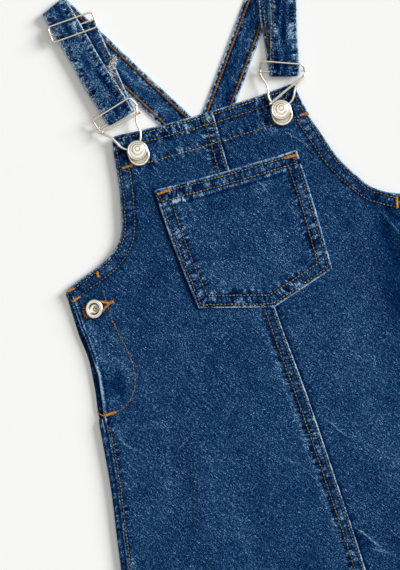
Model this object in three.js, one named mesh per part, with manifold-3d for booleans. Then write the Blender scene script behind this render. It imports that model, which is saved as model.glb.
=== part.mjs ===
// Child's denim pinafore dress, laid flat on its back with the straps folded over to the front.
// Millimetres, +Z up. X runs across the dress, Y up the dress towards the straps, and the dress
// lies on Z = 0. "down" is measured down the dress from the bib line, "up" is measured above it.
import * as THREE from 'three';
import Module from 'manifold-3d';
import { mergeVertices } from 'three/addons/utils/BufferGeometryUtils.js';

const wasm = await Module();
wasm.setup();

// ---- driving dimensions ---------------------------------------------------------------------
const BIB_LINE = 210.0;      // Y of the bib line, so that the box is centred on the origin
const CLOTH = 1.5;           // wall of one denim panel
const GAP = 0.3;             // between two pieces at a seam or in a pile
const BACK_Z = 0.75;         // middle of the back panel's wall: it lies on the surface
const UNDERLAP_Z = 2.65;     // middle of the placket underlap's wall
const FRONT_Z = 4.6;         // middle of the front's wall
const LENGTH = 560;          // bib line to hem
const HEM_RISE = 12;         // the hem is this much higher at the side folds than at the seam
const HEM_HALF = 244;        // half the width at the hem
const BACK_HEM_DROP = 3;     // the back's hem shows this much below the front's
const TOP_LEFT_RISE = 7;     // the bib's top edge above the bib line at its left corner
const TOP_RIGHT_RISE = 5.2;  // and at its right corner
const TOP_MID_RISE = 2.6;    // and at the centre seam
const BIB_CORNER = 5;        // radius of the bib's corners
const STRAP_WIDE = 26;
const STRAP_WALL = 1.6;      // two layers of denim, pressed
const RAW_WALL = 1.2;        // the strap's raw end, laid on its free end
const UNDER_Z = 2.7;         // middle of the free end's wall, over the back stretch
const WEAVE_Z = 4.6;         // middle of the front stretch where it passes under the slider's bars
const WIRE = 0.7;            // radius of the buckles' wire
const LOOP = WIRE + GAP + STRAP_WALL / 2;   // strap's middle line round a bar
const BAR_Z = UNDER_Z + LOOP;               // the buckle's strap bar
const WEAVE = LOOP + 0.3;                   // half the height of its hump over the slider's middle bar
const SLIDER_LONG = 44.6, SLIDER_PITCH = 7.5;   // pitch: between two bars
const CAP_R = 9, NECK_R = 2.6;              // shank buttons
const PLATE_R = 9.3, PLATE_T = 1.6, PLATE_DROP = 4.6;   // the buckle's plate round the shank

const TOP_OF_FRONT = FRONT_Z + CLOTH / 2;

// ---- sections: one row for each level of the dress -------------------------------------------
// edge: the front's outer edge. fold: the outermost line of the back, where it shows past the front.
const LEFT = [
  { down: 0, edge: -106 }, { down: 12, edge: -108.3 }, { down: 30, edge: -110.6 },
  { down: 45, edge: -113.2 }, { down: 60, edge: -116.7 }, { down: 70, edge: -119.2 },
  { down: 79, edge: -122.0 }, { down: 85, edge: -125.0 }, { down: 90, edge: -129.2 },
  { down: 95, edge: -135.0 }, { down: 100, edge: -142.5 }, { down: 104, edge: -151.5 },
  { down: 108, edge: -164.0 }, { down: 112, edge: -176.0 }, { down: 116, edge: -184.0 },
  { down: 119, edge: -187.0 }, { down: 127, edge: -184.9 }, { down: 137, edge: -184.3 },
  { down: 147, edge: -184.0 }, { down: 157, edge: -183.6 }, { down: 167, edge: -182.3 },
  { down: 175, edge: -181.9 }, { down: 192, edge: -181.5 }, { down: 198, edge: -181.2 },
  { down: 210, edge: -182.9 }, { down: 225, edge: -185.2 }, { down: 234, edge: -186.8 },
  { down: 257, edge: -189.0 }, { down: 278, edge: -191.3 },
  { down: 301, edge: -194.5 }, { down: 324, edge: -198.5 }, { down: 351, edge: -203.3 },
  { down: 400, edge: -211.5 }, { down: 480, edge: -225.0 }, { down: 560, edge: -238.4 },
];
const RIGHT = [
  { down: 0, edge: 70.0 }, { down: 10, edge: 70.8 }, { down: 21, edge: 73.2 },
  { down: 31, edge: 75.0 }, { down: 45, edge: 79.4 }, { down: 58, edge: 83.2 },
  { down: 67, edge: 86.2 }, { down: 76, edge: 90.0 }, { down: 86, edge: 95.3 },
  { down: 96, edge: 101.6 }, { down: 105, edge: 107.6 }, { down: 112, edge: 116.0 },
  { down: 117, edge: 124.0 }, { down: 122, edge: 133.2 }, { down: 126, edge: 143.0 },
  { down: 129, edge: 151.5 }, { down: 132, edge: 157.5 }, { down: 135, edge: 159.6 },
  { down: 150, edge: 158.0 }, { down: 175, edge: 156.8 }, { down: 200, edge: 159.0 },
  { down: 225, edge: 163.0 }, { down: 247, edge: 166.6 }, { down: 275, edge: 170.8 },
  { down: 300, edge: 175.6 }, { down: 350, edge: 186.4 }, { down: 400, edge: 197.6 },
  { down: 480, edge: 217.5 }, { down: 560, edge: 238.4 },
];
const SEAM = [   // the lapped edge of the centre seam
  { down: 0, x: -9.6 }, { down: 50, x: -10.7 }, { down: 190, x: -7.0 }, { down: 281, x: -1.5 },
  { down: 350, x: 0.9 }, { down: 421, x: 2.1 }, { down: 560, x: 3.0 },
];
const BACK = [   // the back's two outer lines; its top is a roof under the two straps
  { down: 0, left: -47.4, right: -4.4 }, { down: 20, left: -48.5, right: -2.8 },
  { down: 35, left: -51.5, right: 1.0 }, { down: 50, left: -58.0, right: 8.5 },
  { down: 65, left: -70.0, right: 21.5 }, { down: 78, left: -86.0, right: 39.0 },
  { down: 90, left: -108.0, right: 61.0 }, { down: 100, left: -133.0, right: 84.0 },
  { down: 110, left: -160.0, right: 108.0 }, { down: 119, left: -189.0, right: 131.0 },
  { down: 127, left: -188.6, right: 149.0 }, { down: 135, left: -188.7, right: 162.6 },
  { down: 157, left: -188.4, right: 164.0 }, { down: 182, left: -186.4, right: 164.6 },
  { down: 209, left: -188.6, right: 167.4 }, { down: 234, left: -192.6, right: 171.0 },
  { down: 257, left: -195.2, right: 174.2 }, { down: 301, left: -200.5, right: 181.8 },
  { down: 351, left: -209.2, right: 192.6 }, { down: 400, left: -217.4, right: 203.6 },
  { down: 480, left: -231.0, right: 223.4 }, { down: 560, left: -HEM_HALF, right: HEM_HALF },
];
const PLACKET = {   // the open stretch of each side, between the underarm and the side seam
  left: { from: 121, to: 234, closed: 243, buttonX: -166.6, buttonDown: 140 },
  right: { from: 137, to: 249, closed: 258, buttonX: 137.6, buttonDown: 155 },
};
const UNDERLAP_WIDE = 33;

// Soft ridges of the front: middle, half length, half width, turn from the Y axis, height.
const FOLDS = [
  { x: -126, down: 420, long: 105, wide: 20, turn: -9, high: 2.0 },
  { x: -62, down: 350, long: 90, wide: 22, turn: -3, high: 1.3 },
  { x: 62, down: 465, long: 85, wide: 24, turn: 6, high: 2.1 },
  { x: 128, down: 395, long: 110, wide: 20, turn: 10, high: 1.9 },
  { x: 178, down: 480, long: 70, wide: 15, turn: 13, high: 1.6 },
  { x: -188, down: 500, long: 60, wide: 13, turn: -10, high: 1.5 },
  { x: 96, down: 190, long: 55, wide: 11, turn: 8, high: 1.6 },
  { x: 132, down: 228, long: 44, wide: 10, turn: 2, high: 1.4 },
  { x: -116, down: 290, long: 60, wide: 16, turn: -14, high: 1.2 },
];

const POCKET = {   // the five-sided patch: its top corners, its lower corners and its point
  topLeft: [-82.4, 51.8], topRight: [53.8, 54.5],
  lowLeft: [-75.0, 167.6], lowRight: [53.1, 168.8], point: [-8.3, 187.1],
};

// Straps: where the strap bar sits, the shoulder fold, where the back stretch starts, how far the
// free end drifts sideways on its way up, the slider's middle and turn, how far the loop hangs below
// its bar, where the raw end stops and on which side of the front stretch it shows.
const STRAPS = {
  left: {
    bar: [-93.4, 22.2], shoulder: [-121.2, 137.3], start: [-36.5, -10.1],
    drift: 0.12, driftFrom: 2.5, slider: [-110.2, 113.4], sliderTurn: 2.7, slack: 0.2,
    rawFrom: 44.5, rawSide: 1,
  },
  right: {
    bar: [63.6, 18.2], shoulder: [96.2, 132.6], start: [-14.4, -11.4],
    drift: -0.13, driftFrom: -0.6, slider: [85.6, 111.6], sliderTurn: -9, slack: 2.4,
    rawFrom: 39.0, rawSide: -1,
  },
};
const SWAY = {   // how the front stretch wanders and turns a little: its shift and its width
  left: [
    { along: -8, shift: 0.4, scale: 1.04 }, { along: 12, shift: 0.6, scale: 1.05 },
    { along: 40, shift: -0.3, scale: 1.04 }, { along: 60, shift: -0.2, scale: 0.98 },
    { along: 82, shift: 0, scale: 1 }, { along: 125, shift: 0, scale: 1 },
  ],
  right: [
    { along: -8, shift: 1.4, scale: 1.04 }, { along: 12, shift: 1.1, scale: 1.03 },
    { along: 30, shift: 0.8, scale: 0.98 }, { along: 48, shift: 1.0, scale: 0.94 },
    { along: 82, shift: 0, scale: 1 }, { along: 125, shift: 0, scale: 1 },
  ],
};
const CROTCH = [-25, -3];   // where the inner edges of the two back stretches meet
const FREE_END = 89;        // length of the free end, up from the strap bar
const STRAP_LEVELS = [      // the front stretch's middle height, up from the strap bar
  { along: 0, z: BAR_Z + LOOP }, { along: 6, z: BAR_Z + LOOP }, { along: 20, z: 5.6 },
  { along: 40, z: 4.9 }, { along: 76, z: 4.7 }, { along: 104, z: 4.7 },
  { along: 110, z: 5.2 }, { along: 125, z: 5.9 },
];

// Buckle wires: a row for each bend, from the left end to the right end.
const WIRES = {
  left: {
    frame: [
      { x: -115.0, up: 16.2, z: 4.6 }, { x: -117.9, up: 25.9, z: 8.1 },
      { x: -78.9, up: 36.2, z: 8.1 }, { x: -74.2, up: 27.6, z: 4.6 },
    ],
    legLeft: [
      { x: -115.0, up: 15.6, z: 4.8 }, { x: -110.7, up: 9.7, z: 6.0 },
      { x: -105.4, up: 4.4, z: 6.45 }, { x: -101.4, up: -3.9, z: 6.45 },
      { x: -92.0, up: -10.0, z: 6.45 },
    ],
    legRight: [
      { x: -74.2, up: 27.0, z: 4.8 }, { x: -75.6, up: 18.0, z: 5.8 },
      { x: -79.4, up: 12.6, z: 6.3 }, { x: -78.2, up: 5.1, z: 6.45 },
      { x: -81.6, up: -6.0, z: 6.45 },
    ],
    latch: [{ x: -112.6, up: 12.8, z: 8.2 }, { x: -94, up: 16.0, z: 8.2 }, { x: -73.6, up: 20.0, z: 8.2 }],
    knobs: [{ x: -115.0, up: 16.0, z: 4.6 }, { x: -74.2, up: 27.4, z: 4.6 }],
    button: [-86.4, -12.6],
  },
  right: {
    frame: [
      { x: 42.9, up: 24.2, z: 4.6 }, { x: 46.0, up: 33.0, z: 8.1 },
      { x: 81.4, up: 18.8, z: 8.1 }, { x: 84.2, up: 12.2, z: 4.6 },
    ],
    legLeft: [
      { x: 42.9, up: 23.6, z: 4.8 }, { x: 43.2, up: 16.2, z: 5.8 },
      { x: 45.4, up: 9.6, z: 6.4 }, { x: 43.6, up: 1.5, z: 6.45 },
      { x: 44.4, up: -5.2, z: 6.45 }, { x: 47.4, up: -12.0, z: 6.45 },
    ],
    legRight: [
      { x: 84.2, up: 12.0, z: 4.8 }, { x: 75.6, up: 4.8, z: 6.2 },
      { x: 67.2, up: 0.0, z: 6.45 }, { x: 65.3, up: -7.6, z: 6.45 },
      { x: 56.0, up: -13.4, z: 6.45 },
    ],
    latch: [{ x: 79.5, up: 8.2, z: 8.3 }, { x: 62, up: 0.9, z: 8.3 }, { x: 42.6, up: -7.6, z: 8.3 }],
    knobs: [{ x: 42.9, up: 24.0, z: 4.6 }, { x: 84.2, up: 12.4, z: 4.6 }],
    button: [50.7, -15.5],
  },
};

// ---- small maths -----------------------------------------------------------------------------
const clamp = (v, a, b) => Math.min(b, Math.max(a, v));
const mix = (a, b, k) => a + (b - a) * k;
const smooth = (a, b, v) => { const k = clamp((v - a) / (b - a), 0, 1); return k * k * (3 - 2 * k); };
const levels = (a, b, n) => Array.from({ length: n + 1 }, (_, i) => mix(a, b, i / n));

// A smooth curve through one column of a table that never overshoots its rows.
function track(rows, key, column) {
  const x = rows.map((r) => r[key]), y = rows.map((r) => r[column]), n = x.length;
  const d = x.slice(1).map((v, i) => (y[i + 1] - y[i]) / (v - x[i]));
  const m = x.map((_, i) => {
    if (i === 0) return d[0];
    if (i === n - 1) return d[n - 2];
    return d[i - 1] * d[i] <= 0 ? 0 : 2 / (1 / d[i - 1] + 1 / d[i]);
  });
  return (v) => {
    const u = clamp(v, x[0], x[n - 1]);
    let i = 0;
    while (i < n - 2 && u > x[i + 1]) i += 1;
    const h = x[i + 1] - x[i], t = (u - x[i]) / h, t2 = t * t, t3 = t2 * t;
    return y[i] * (2 * t3 - 3 * t2 + 1) + h * m[i] * (t3 - 2 * t2 + t)
      + y[i + 1] * (3 * t2 - 2 * t3) + h * m[i + 1] * (t3 - t2);
  };
}

const edgeLeft = track(LEFT, 'down', 'edge'), edgeRight = track(RIGHT, 'down', 'edge');
const seamX = track(SEAM, 'down', 'x');
const backLeft = track(BACK, 'down', 'left'), backRight = track(BACK, 'down', 'right');
const strapLevel = track(STRAP_LEVELS, 'along', 'z');

// The bib's top edge: a shallow dip between its corners, which are rounded.
function bibTop(x) {
  const out = x < seamX(0) ? (seamX(0) - x) / (seamX(0) - edgeLeft(0)) : (x - seamX(0)) / (edgeRight(0) - seamX(0));
  const rise = x < seamX(0) ? TOP_LEFT_RISE : TOP_RIGHT_RISE;
  const inside = Math.min(x - edgeLeft(0), edgeRight(0) - x);
  const d = clamp(BIB_CORNER - inside, 0, BIB_CORNER);
  const round = BIB_CORNER - Math.sqrt(Math.max(0, BIB_CORNER ** 2 - d * d));
  return mix(TOP_MID_RISE, rise, out * out) - round;
}
const hemRise = (x) => HEM_RISE * (x / HEM_HALF) ** 2;
const frontY = (x, down) => BIB_LINE - down + bibTop(x) * (1 - smooth(0, 45, down))
  + hemRise(x) * smooth(380, LENGTH, down);
const roof = (x) => CROTCH[1] - (x < CROTCH[0] ? 0.60 * (CROTCH[0] - x) : 0.78 * (x - CROTCH[0]));
const backY = (x, down) => BIB_LINE - down + roof(x) * (1 - smooth(0, 50, down))
  + hemRise(x) * smooth(380, LENGTH, down)
  - BACK_HEM_DROP * smooth(500, LENGTH, down) * smooth(9, 60, Math.min(x - backLeft(down), backRight(down) - x));

// Height of the middle of the front's wall: flat at its edges, with soft ridges inside.
function frontZ(x, y) {
  const down = BIB_LINE - y;
  const near = Math.min(x - edgeLeft(down), edgeRight(down) - x);
  const keep = smooth(6, 34, near);
  let z = 0;
  for (const f of FOLDS) {
    const a = THREE.MathUtils.degToRad(f.turn), dx = x - f.x, dy = -(down - f.down);
    const along = dx * -Math.sin(a) + dy * Math.cos(a), across = dx * Math.cos(a) + dy * Math.sin(a);
    z += f.high * Math.exp(-((along / f.long) ** 2) - ((across / f.wide) ** 2));
  }
  return FRONT_Z + z * keep;
}

// ---- solids ----------------------------------------------------------------------------------
function closedBody(positions, triangles) {
  const geometry = new THREE.BufferGeometry();
  geometry.setAttribute('position', new THREE.Float32BufferAttribute(positions, 3));
  let volume = 0;
  const p = (i) => new THREE.Vector3().fromArray(positions, 3 * i);
  for (const [a, b, c] of triangles) volume += p(a).dot(p(b).cross(p(c))) / 6;
  geometry.setIndex(triangles.flatMap(([a, b, c]) => (volume > 0 ? [a, b, c] : [a, c, b])));
  geometry.computeVertexNormals();
  return geometry;
}

// A cloth wall from the points of its middle surface, rows by columns, moved out to both sides.
function wall(grid, thick) {
  const rows = grid.length, cols = grid[0].length;
  const at = (i, j) => grid[clamp(i, 0, rows - 1)][clamp(j, 0, cols - 1)];
  const positions = [];
  for (const side of [0.5, -0.5]) {
    for (let i = 0; i < rows; i += 1) {
      for (let j = 0; j < cols; j += 1) {
        const r = at(i + 1, j).clone().sub(at(i - 1, j)), c = at(i, j + 1).clone().sub(at(i, j - 1));
        const n = r.cross(c).normalize();
        const q = at(i, j).clone().addScaledVector(n, side * thick);
        positions.push(q.x, q.y, q.z);
      }
    }
  }
  const T = (i, j) => i * cols + j, B = (i, j) => rows * cols + i * cols + j;
  const triangles = [];
  const quad = (a, b, c, d) => triangles.push([a, b, c], [a, c, d]);
  for (let i = 0; i < rows - 1; i += 1) {
    for (let j = 0; j < cols - 1; j += 1) {
      quad(T(i, j), T(i + 1, j), T(i + 1, j + 1), T(i, j + 1));
      quad(B(i, j), B(i, j + 1), B(i + 1, j + 1), B(i + 1, j));
    }
    quad(T(i, 0), B(i, 0), B(i + 1, 0), T(i + 1, 0));
    quad(T(i, cols - 1), T(i + 1, cols - 1), B(i + 1, cols - 1), B(i, cols - 1));
  }
  for (let j = 0; j < cols - 1; j += 1) {
    quad(T(0, j), T(0, j + 1), B(0, j + 1), B(0, j));
    quad(T(rows - 1, j), B(rows - 1, j), B(rows - 1, j + 1), T(rows - 1, j + 1));
  }
  return closedBody(positions, triangles);
}

function toSolid(geometry) {
  const bare = geometry.clone();
  for (const name of Object.keys(bare.attributes)) if (name !== 'position') bare.deleteAttribute(name);
  const merged = mergeVertices(bare, 1e-4);
  return new wasm.Manifold(new wasm.Mesh({
    numProp: 3,
    vertProperties: new Float32Array(merged.attributes.position.array),
    triVerts: new Uint32Array(merged.index.array),
  }));
}
function fromSolid(solid) {
  const mesh = solid.getMesh(), geometry = new THREE.BufferGeometry();
  geometry.setAttribute('position', new THREE.BufferAttribute(new Float32Array(mesh.vertProperties), 3));
  geometry.setIndex(new THREE.BufferAttribute(new Uint32Array(mesh.triVerts), 1));
  geometry.computeVertexNormals();
  return geometry;
}

// Round wire along straight runs with rounded bends.
function wire(points, radius, bend, steps) {
  const path = new THREE.CurvePath();
  let from = points[0];
  for (let i = 1; i < points.length - 1; i += 1) {
    const p = points[i], a = points[i - 1], b = points[i + 1];
    const cut = Math.min(bend, p.distanceTo(a) * 0.45, p.distanceTo(b) * 0.45);
    const into = p.clone().add(a.clone().sub(p).setLength(cut)), out = p.clone().add(b.clone().sub(p).setLength(cut));
    path.add(new THREE.LineCurve3(from, into));
    path.add(new THREE.QuadraticBezierCurve3(into, p, out));
    from = out;
  }
  path.add(new THREE.LineCurve3(from, points[points.length - 1]));
  const section = new THREE.Shape();
  for (let k = 0; k < 6; k += 1) {
    const a = (k / 6) * Math.PI * 2;
    section[k ? 'lineTo' : 'moveTo'](radius * Math.cos(a), radius * Math.sin(a));
  }
  return new THREE.ExtrudeGeometry(section, { steps, extrudePath: path, curveSegments: 1 });
}
const bends = (rows) => rows.map((r) => new THREE.Vector3(r.x, BIB_LINE + r.up, r.z));

// ---- panels ----------------------------------------------------------------------------------
const ROWS_SKIRT = [234, 239, 244, 249, 254, 259, 278, 301, 330, 360, 400, 440, 480, 520, 548, LENGTH];
const ROWS_LEFT = [0, 8, 20, 36, 50, 62, 72, 79, 84, 88, 92, 96, 100, 104, 108, 112, 116, 119, 129,
  144, 158, 171, 184, 197, 210, 222, ...ROWS_SKIRT];
const ROWS_RIGHT = [0, 8, 20, 36, 50, 62, 76, 86, 96, 105, 112, 117, 122, 126, 129, 132, 135, 150,
  165, 180, 197, 210, 222, ...ROWS_SKIRT];
const ACROSS = [0, 0.16, 0.34, 0.52, 0.7, 0.85, 0.96, 1];

function frontGrid(rows, inner, outer) {
  return rows.map((down) => ACROSS.map((k) => {
    const x = mix(inner(down), outer(down), k), y = frontY(x, down);
    return new THREE.Vector3(x, y, frontZ(x, y));
  }));
}

function frontHalf(side) {
  const left = side === 'left';
  const grid = left
    ? frontGrid(ROWS_LEFT, seamX, edgeLeft)
    : frontGrid(ROWS_RIGHT, (down) => seamX(down) + GAP, edgeRight);
  const p = PLACKET[side];
  const eye = new THREE.CylinderGeometry(NECK_R + 0.4, NECK_R + 0.4, 12, 12);
  eye.rotateX(Math.PI / 2);
  eye.translate(p.buttonX, BIB_LINE - p.buttonDown, FRONT_Z);
  return fromSolid(toSolid(wall(grid, CLOTH)).subtract(toSolid(eye)));
}

// The back: flat on the surface, and below the plackets wrapped up round both side folds to the
// side seams on the front.
function backPanel() {
  const r = (FRONT_Z - BACK_Z) / 2;
  const rows = [0, 20, 35, 50, 65, 78, 90, 100, 110, 119, 127, 135, 157, 182, 209, 222, ...ROWS_SKIRT];
  const turns = [-90, -45, 0, 45, 90];
  const wrap = (down, x0, seam, sign, k) => turns.slice(1).map((deg, i) => {
    const a = THREE.MathUtils.degToRad(deg);
    const flat = new THREE.Vector3(mix(x0, x0 + sign * r, (i + 1) / 5), 0, BACK_Z);
    const round = new THREE.Vector3(x0 + sign * r * Math.cos(a), 0, BACK_Z + r + r * Math.sin(a));
    return flat.lerp(round, k);
  }).concat(new THREE.Vector3(x0 + sign * r, 0, BACK_Z).lerp(
    new THREE.Vector3(seam + sign * (GAP + 0.9 * (1 - k)), 0, FRONT_Z), k));
  return wall(rows.map((down) => {
    const kl = smooth(PLACKET.left.to + 2, PLACKET.left.closed, down);
    const kr = smooth(PLACKET.right.to + 2, PLACKET.right.closed, down);
    const half = CLOTH / 2;
    const xl = backLeft(down) + half + r, xr = backRight(down) - half - r;
    const middle = levels(0, 1, 7).map((k) => new THREE.Vector3(mix(xl, xr, k), 0, BACK_Z));
    const row = [...wrap(down, xl, edgeLeft(down), -1, kl).reverse(), ...middle,
      ...wrap(down, xr, edgeRight(down), 1, kr)];
    for (const q of row) q.y = backY(q.x, down);
    return row;
  }), CLOTH);
}

function underlap(side) {
  const p = PLACKET[side], outer = side === 'left' ? backLeft : backRight;
  const sign = side === 'left' ? 1 : -1;
  return wall(levels(p.from, p.to, 8).map((down) => levels(1.4, UNDERLAP_WIDE, 3)
    .map((k) => new THREE.Vector3(outer(down) + sign * k, BIB_LINE - down, UNDERLAP_Z))), CLOTH);
}

function pocketPatch() {
  const { topLeft, topRight, lowLeft, lowRight, point } = POCKET;
  const lift = CLOTH + GAP;
  return wall(levels(0, 1, 9).map((t) => levels(0, 1, 12).map((k) => {
    const peak = (point[0] - lowLeft[0]) / (lowRight[0] - lowLeft[0]);
    const low = k < peak ? mix(lowLeft[1], point[1], k / peak) : mix(point[1], lowRight[1], (k - peak) / (1 - peak));
    const x = mix(mix(topLeft[0], topRight[0], k), mix(lowLeft[0], lowRight[0], k), t);
    const y = BIB_LINE - mix(mix(topLeft[1], topRight[1], k), low, t);
    return new THREE.Vector3(x, y, frontZ(x, y) + lift + 0.1);
  })), CLOTH);
}

// ---- straps ----------------------------------------------------------------------------------
function strapFrame(s) {
  const v2 = (a) => new THREE.Vector2(a[0], a[1]);
  const bar = v2(s.bar), shoulder = v2(s.shoulder), start = v2(s.start);
  const up = shoulder.clone().sub(bar), reach = up.length();
  up.normalize();
  const backUp = shoulder.clone().sub(start), backReach = backUp.length();
  backUp.normalize();
  const right = new THREE.Vector2(up.y, -up.x), backRightward = new THREE.Vector2(backUp.y, -backUp.x);
  const crease = backUp.clone().sub(up).normalize();
  if (crease.dot(right) < 0) crease.negate();
  const outward = new THREE.Vector2(-crease.y, crease.x);
  if (outward.dot(up) < 0) outward.negate();
  return { bar, shoulder, start, up, reach, backUp, backReach, right, backRightward, crease, outward };
}
const TOP_END = STRAP_LEVELS[STRAP_LEVELS.length - 1].z;
const BACK_STRAP_Z = STRAP_WALL / 2;
const FOLD_R = (TOP_END - BACK_STRAP_Z) / 2;
const WIDTHS = [-0.5, -0.17, 0.17, 0.5].map((k) => k * STRAP_WIDE);

function sliderDistance(s, x, up) {
  const a = THREE.MathUtils.degToRad(s.sliderTurn);
  return -(x - s.slider[0]) * Math.sin(a) + (up - s.slider[1]) * Math.cos(a);
}

function frontStretch(side) {
  const s = STRAPS[side], f = strapFrame(s);
  const shiftAt = track(SWAY[side], 'along', 'shift'), scaleAt = track(SWAY[side], 'along', 'scale');
  const place = (along, v, shift, z, lateral) => {
    const q = f.bar.clone().addScaledVector(f.up, along).addScaledVector(lateral, v + shift);
    return new THREE.Vector3(q.x, BIB_LINE + q.y, z);
  };
  const grid = [];
  for (const along of levels(FREE_END, 4, 9)) {   // the free end, under the front stretch
    grid.push(WIDTHS.map((v) => place(along, v, s.driftFrom + s.drift * along, UNDER_Z, f.right)));
  }
  for (const a of levels(0, 180, 8)) {            // round the strap bar
    const t = THREE.MathUtils.degToRad(a), down = -(LOOP + s.slack) * Math.sin(t), k = a / 180;
    const shift = mix(s.driftFrom, shiftAt(0), k), scale = mix(1, scaleAt(0), k);
    grid.push(WIDTHS.map((v) => place(down, v * scale, shift, BAR_Z - LOOP * Math.cos(t), f.right)));
  }
  const base = f.reach - FOLD_R;
  const stations = [6, 20, 40, 62, 76, ...levels(82, 108, 15), 111];
  for (const along of stations) {                 // up the front, through the slider
    const turn = smooth(96, base, along), lateral = f.right.clone().lerp(f.crease, turn).normalize();
    grid.push(WIDTHS.map((v) => {
      const q = place(along, v * scaleAt(along), shiftAt(along), 0, lateral);
      const w = sliderDistance(s, q.x, q.y - BIB_LINE);
      const hump = Math.abs(w) < SLIDER_PITCH ? WEAVE * (1 + Math.cos((Math.PI * w) / SLIDER_PITCH)) : 0;
      q.z = mix(strapLevel(along), WEAVE_Z + hump, 1 - smooth(9, 14, Math.abs(w)));
      return q;
    }));
  }
  for (const a of levels(0, 172, 8)) {            // over the shoulder fold
    const t = THREE.MathUtils.degToRad(a);
    grid.push(WIDTHS.map((v) => {
      const q = f.shoulder.clone().addScaledVector(f.outward, -FOLD_R + FOLD_R * Math.sin(t)).addScaledVector(f.crease, v);
      return new THREE.Vector3(q.x, BIB_LINE + q.y, BACK_STRAP_Z + FOLD_R + FOLD_R * Math.cos(t));
    }));
  }
  // The strap's raw end comes back down from the slider, laid on the free end beside the front.
  const inner = STRAP_WIDE / 2 + 0.5, skin = RAW_WALL + 0.1, z = UNDER_Z + STRAP_WALL / 2 - 0.1 + skin / 2;
  const rawEnd = levels(s.rawFrom, 84, 6).map((along) => {
    const outer = Math.abs(s.driftFrom + s.drift * along) + STRAP_WIDE / 2 + mix(0.9, -0.2, smooth(48, 62, along));
    return [inner, (inner + outer) / 2, outer].map((v) => place(along, s.rawSide * v, 0, z, f.right));
  });
  return fromSolid(toSolid(wall(grid, STRAP_WALL)).add(toSolid(wall(rawEnd, skin))));
}

function backStretch(side) {
  const s = STRAPS[side], f = strapFrame(s);
  return wall(levels(0.5, f.backReach - FOLD_R - 0.2, 9).map((along) => {
    const turn = smooth(f.backReach - 30, f.backReach - FOLD_R, along);
    const lateral = f.backRightward.clone().lerp(f.crease, turn).normalize();
    return WIDTHS.map((v) => {
      const q = f.start.clone().addScaledVector(f.backUp, along).addScaledVector(lateral, v);
      return new THREE.Vector3(q.x, BIB_LINE + q.y, BACK_STRAP_Z);
    });
  }), STRAP_WALL);
}

// ---- hardware --------------------------------------------------------------------------------
function roundedRect(shape, x0, y0, x1, y1, r) {
  shape.moveTo(x0 + r, y0);
  shape.lineTo(x1 - r, y0); shape.absarc(x1 - r, y0 + r, r, -Math.PI / 2, 0, false);
  shape.lineTo(x1, y1 - r); shape.absarc(x1 - r, y1 - r, r, 0, Math.PI / 2, false);
  shape.lineTo(x0 + r, y1); shape.absarc(x0 + r, y1 - r, r, Math.PI / 2, Math.PI, false);
  shape.lineTo(x0, y0 + r); shape.absarc(x0 + r, y0 + r, r, Math.PI, Math.PI * 1.5, false);
  return shape;
}
function sliderRing(side) {
  const s = STRAPS[side], w = SLIDER_LONG / 2, t = 2 * WIRE;
  const half = SLIDER_PITCH + WIRE;
  const ring = roundedRect(new THREE.Shape(), -w, -half, w, half, 4);
  ring.holes.push(roundedRect(new THREE.Path(), -w + t, WIRE, w - t, half - t, 1.6));
  ring.holes.push(roundedRect(new THREE.Path(), -w + t, -half + t, w - t, -WIRE, 1.6));
  const geometry = new THREE.ExtrudeGeometry(ring, { depth: t, bevelEnabled: false, curveSegments: 3 });
  geometry.rotateZ(THREE.MathUtils.degToRad(s.sliderTurn));
  geometry.translate(s.slider[0], BIB_LINE + s.slider[1], WEAVE_Z + WEAVE - WIRE);
  return fromSolid(toSolid(geometry));
}

// The buckle: a bent wire frame over the strap, its strap bar, two legs and the plate that they
// carry, which has the button's shank through it.
function buckleFrame(side) {
  const w = WIRES[side], f = strapFrame(STRAPS[side]);
  const [bx, by] = w.button;
  const plate = new THREE.Shape();
  plate.absarc(0, 0, PLATE_R, 0, Math.PI, false);
  plate.lineTo(-PLATE_R, -PLATE_DROP);
  plate.absarc(0, -PLATE_DROP, PLATE_R, Math.PI, 2 * Math.PI, false);
  const slot = new THREE.Path();
  slot.absarc(0, 0, NECK_R + 0.5, 0, 2 * Math.PI, true);
  plate.holes.push(slot);
  const flat = new THREE.ExtrudeGeometry(plate, { depth: PLATE_T, bevelEnabled: false, curveSegments: 6 });
  flat.rotateZ(THREE.MathUtils.degToRad(side === 'left' ? 4 : -2));
  flat.translate(bx, BIB_LINE + by, TOP_OF_FRONT + GAP);
  const ends = [-1, 1].map((k) => {
    const q = f.bar.clone().addScaledVector(f.right, 21 * k);
    return new THREE.Vector3(q.x, BIB_LINE + q.y, BAR_Z);
  });
  let solid = toSolid(flat)
    .add(toSolid(wire(bends(w.frame), WIRE, 3, 18)))
    .add(toSolid(wire(bends(w.legLeft), WIRE, 4, 11)))
    .add(toSolid(wire(bends(w.legRight), WIRE, 4, 11)))
    .add(toSolid(wire(ends, WIRE, 1, 2)));
  for (const k of w.knobs) {
    const ball = new THREE.SphereGeometry(1.45, 6, 4);
    ball.translate(k.x, BIB_LINE + k.up, k.z);
    solid = solid.add(toSolid(ball));
  }
  return fromSolid(solid);
}
function latchBar(side) {
  return wire(bends(WIRES[side].latch), WIRE, 2, 6);
}

// A shank button on its axis: a narrow neck, then a cap with a raised ring and a raised middle.
function button(x, up, z, neck) {
  const profile = [[0, 0], [NECK_R, 0], [NECK_R, neck], [CAP_R - 1.0, neck], [CAP_R, neck + 1],
    [CAP_R, neck + 1.8], [CAP_R - 1.2, neck + 2.5], [CAP_R - 2.8, neck + 2.5], [CAP_R - 3.4, neck + 1.9],
    [3.4, neck + 1.9], [3.0, neck + 2.7], [0, neck + 2.8]];
  const geometry = new THREE.LatheGeometry(profile.map(([r, h]) => new THREE.Vector2(r, h)), 14);
  geometry.rotateX(Math.PI / 2);
  geometry.translate(x, BIB_LINE + up, z);
  return fromSolid(toSolid(geometry));
}
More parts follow.
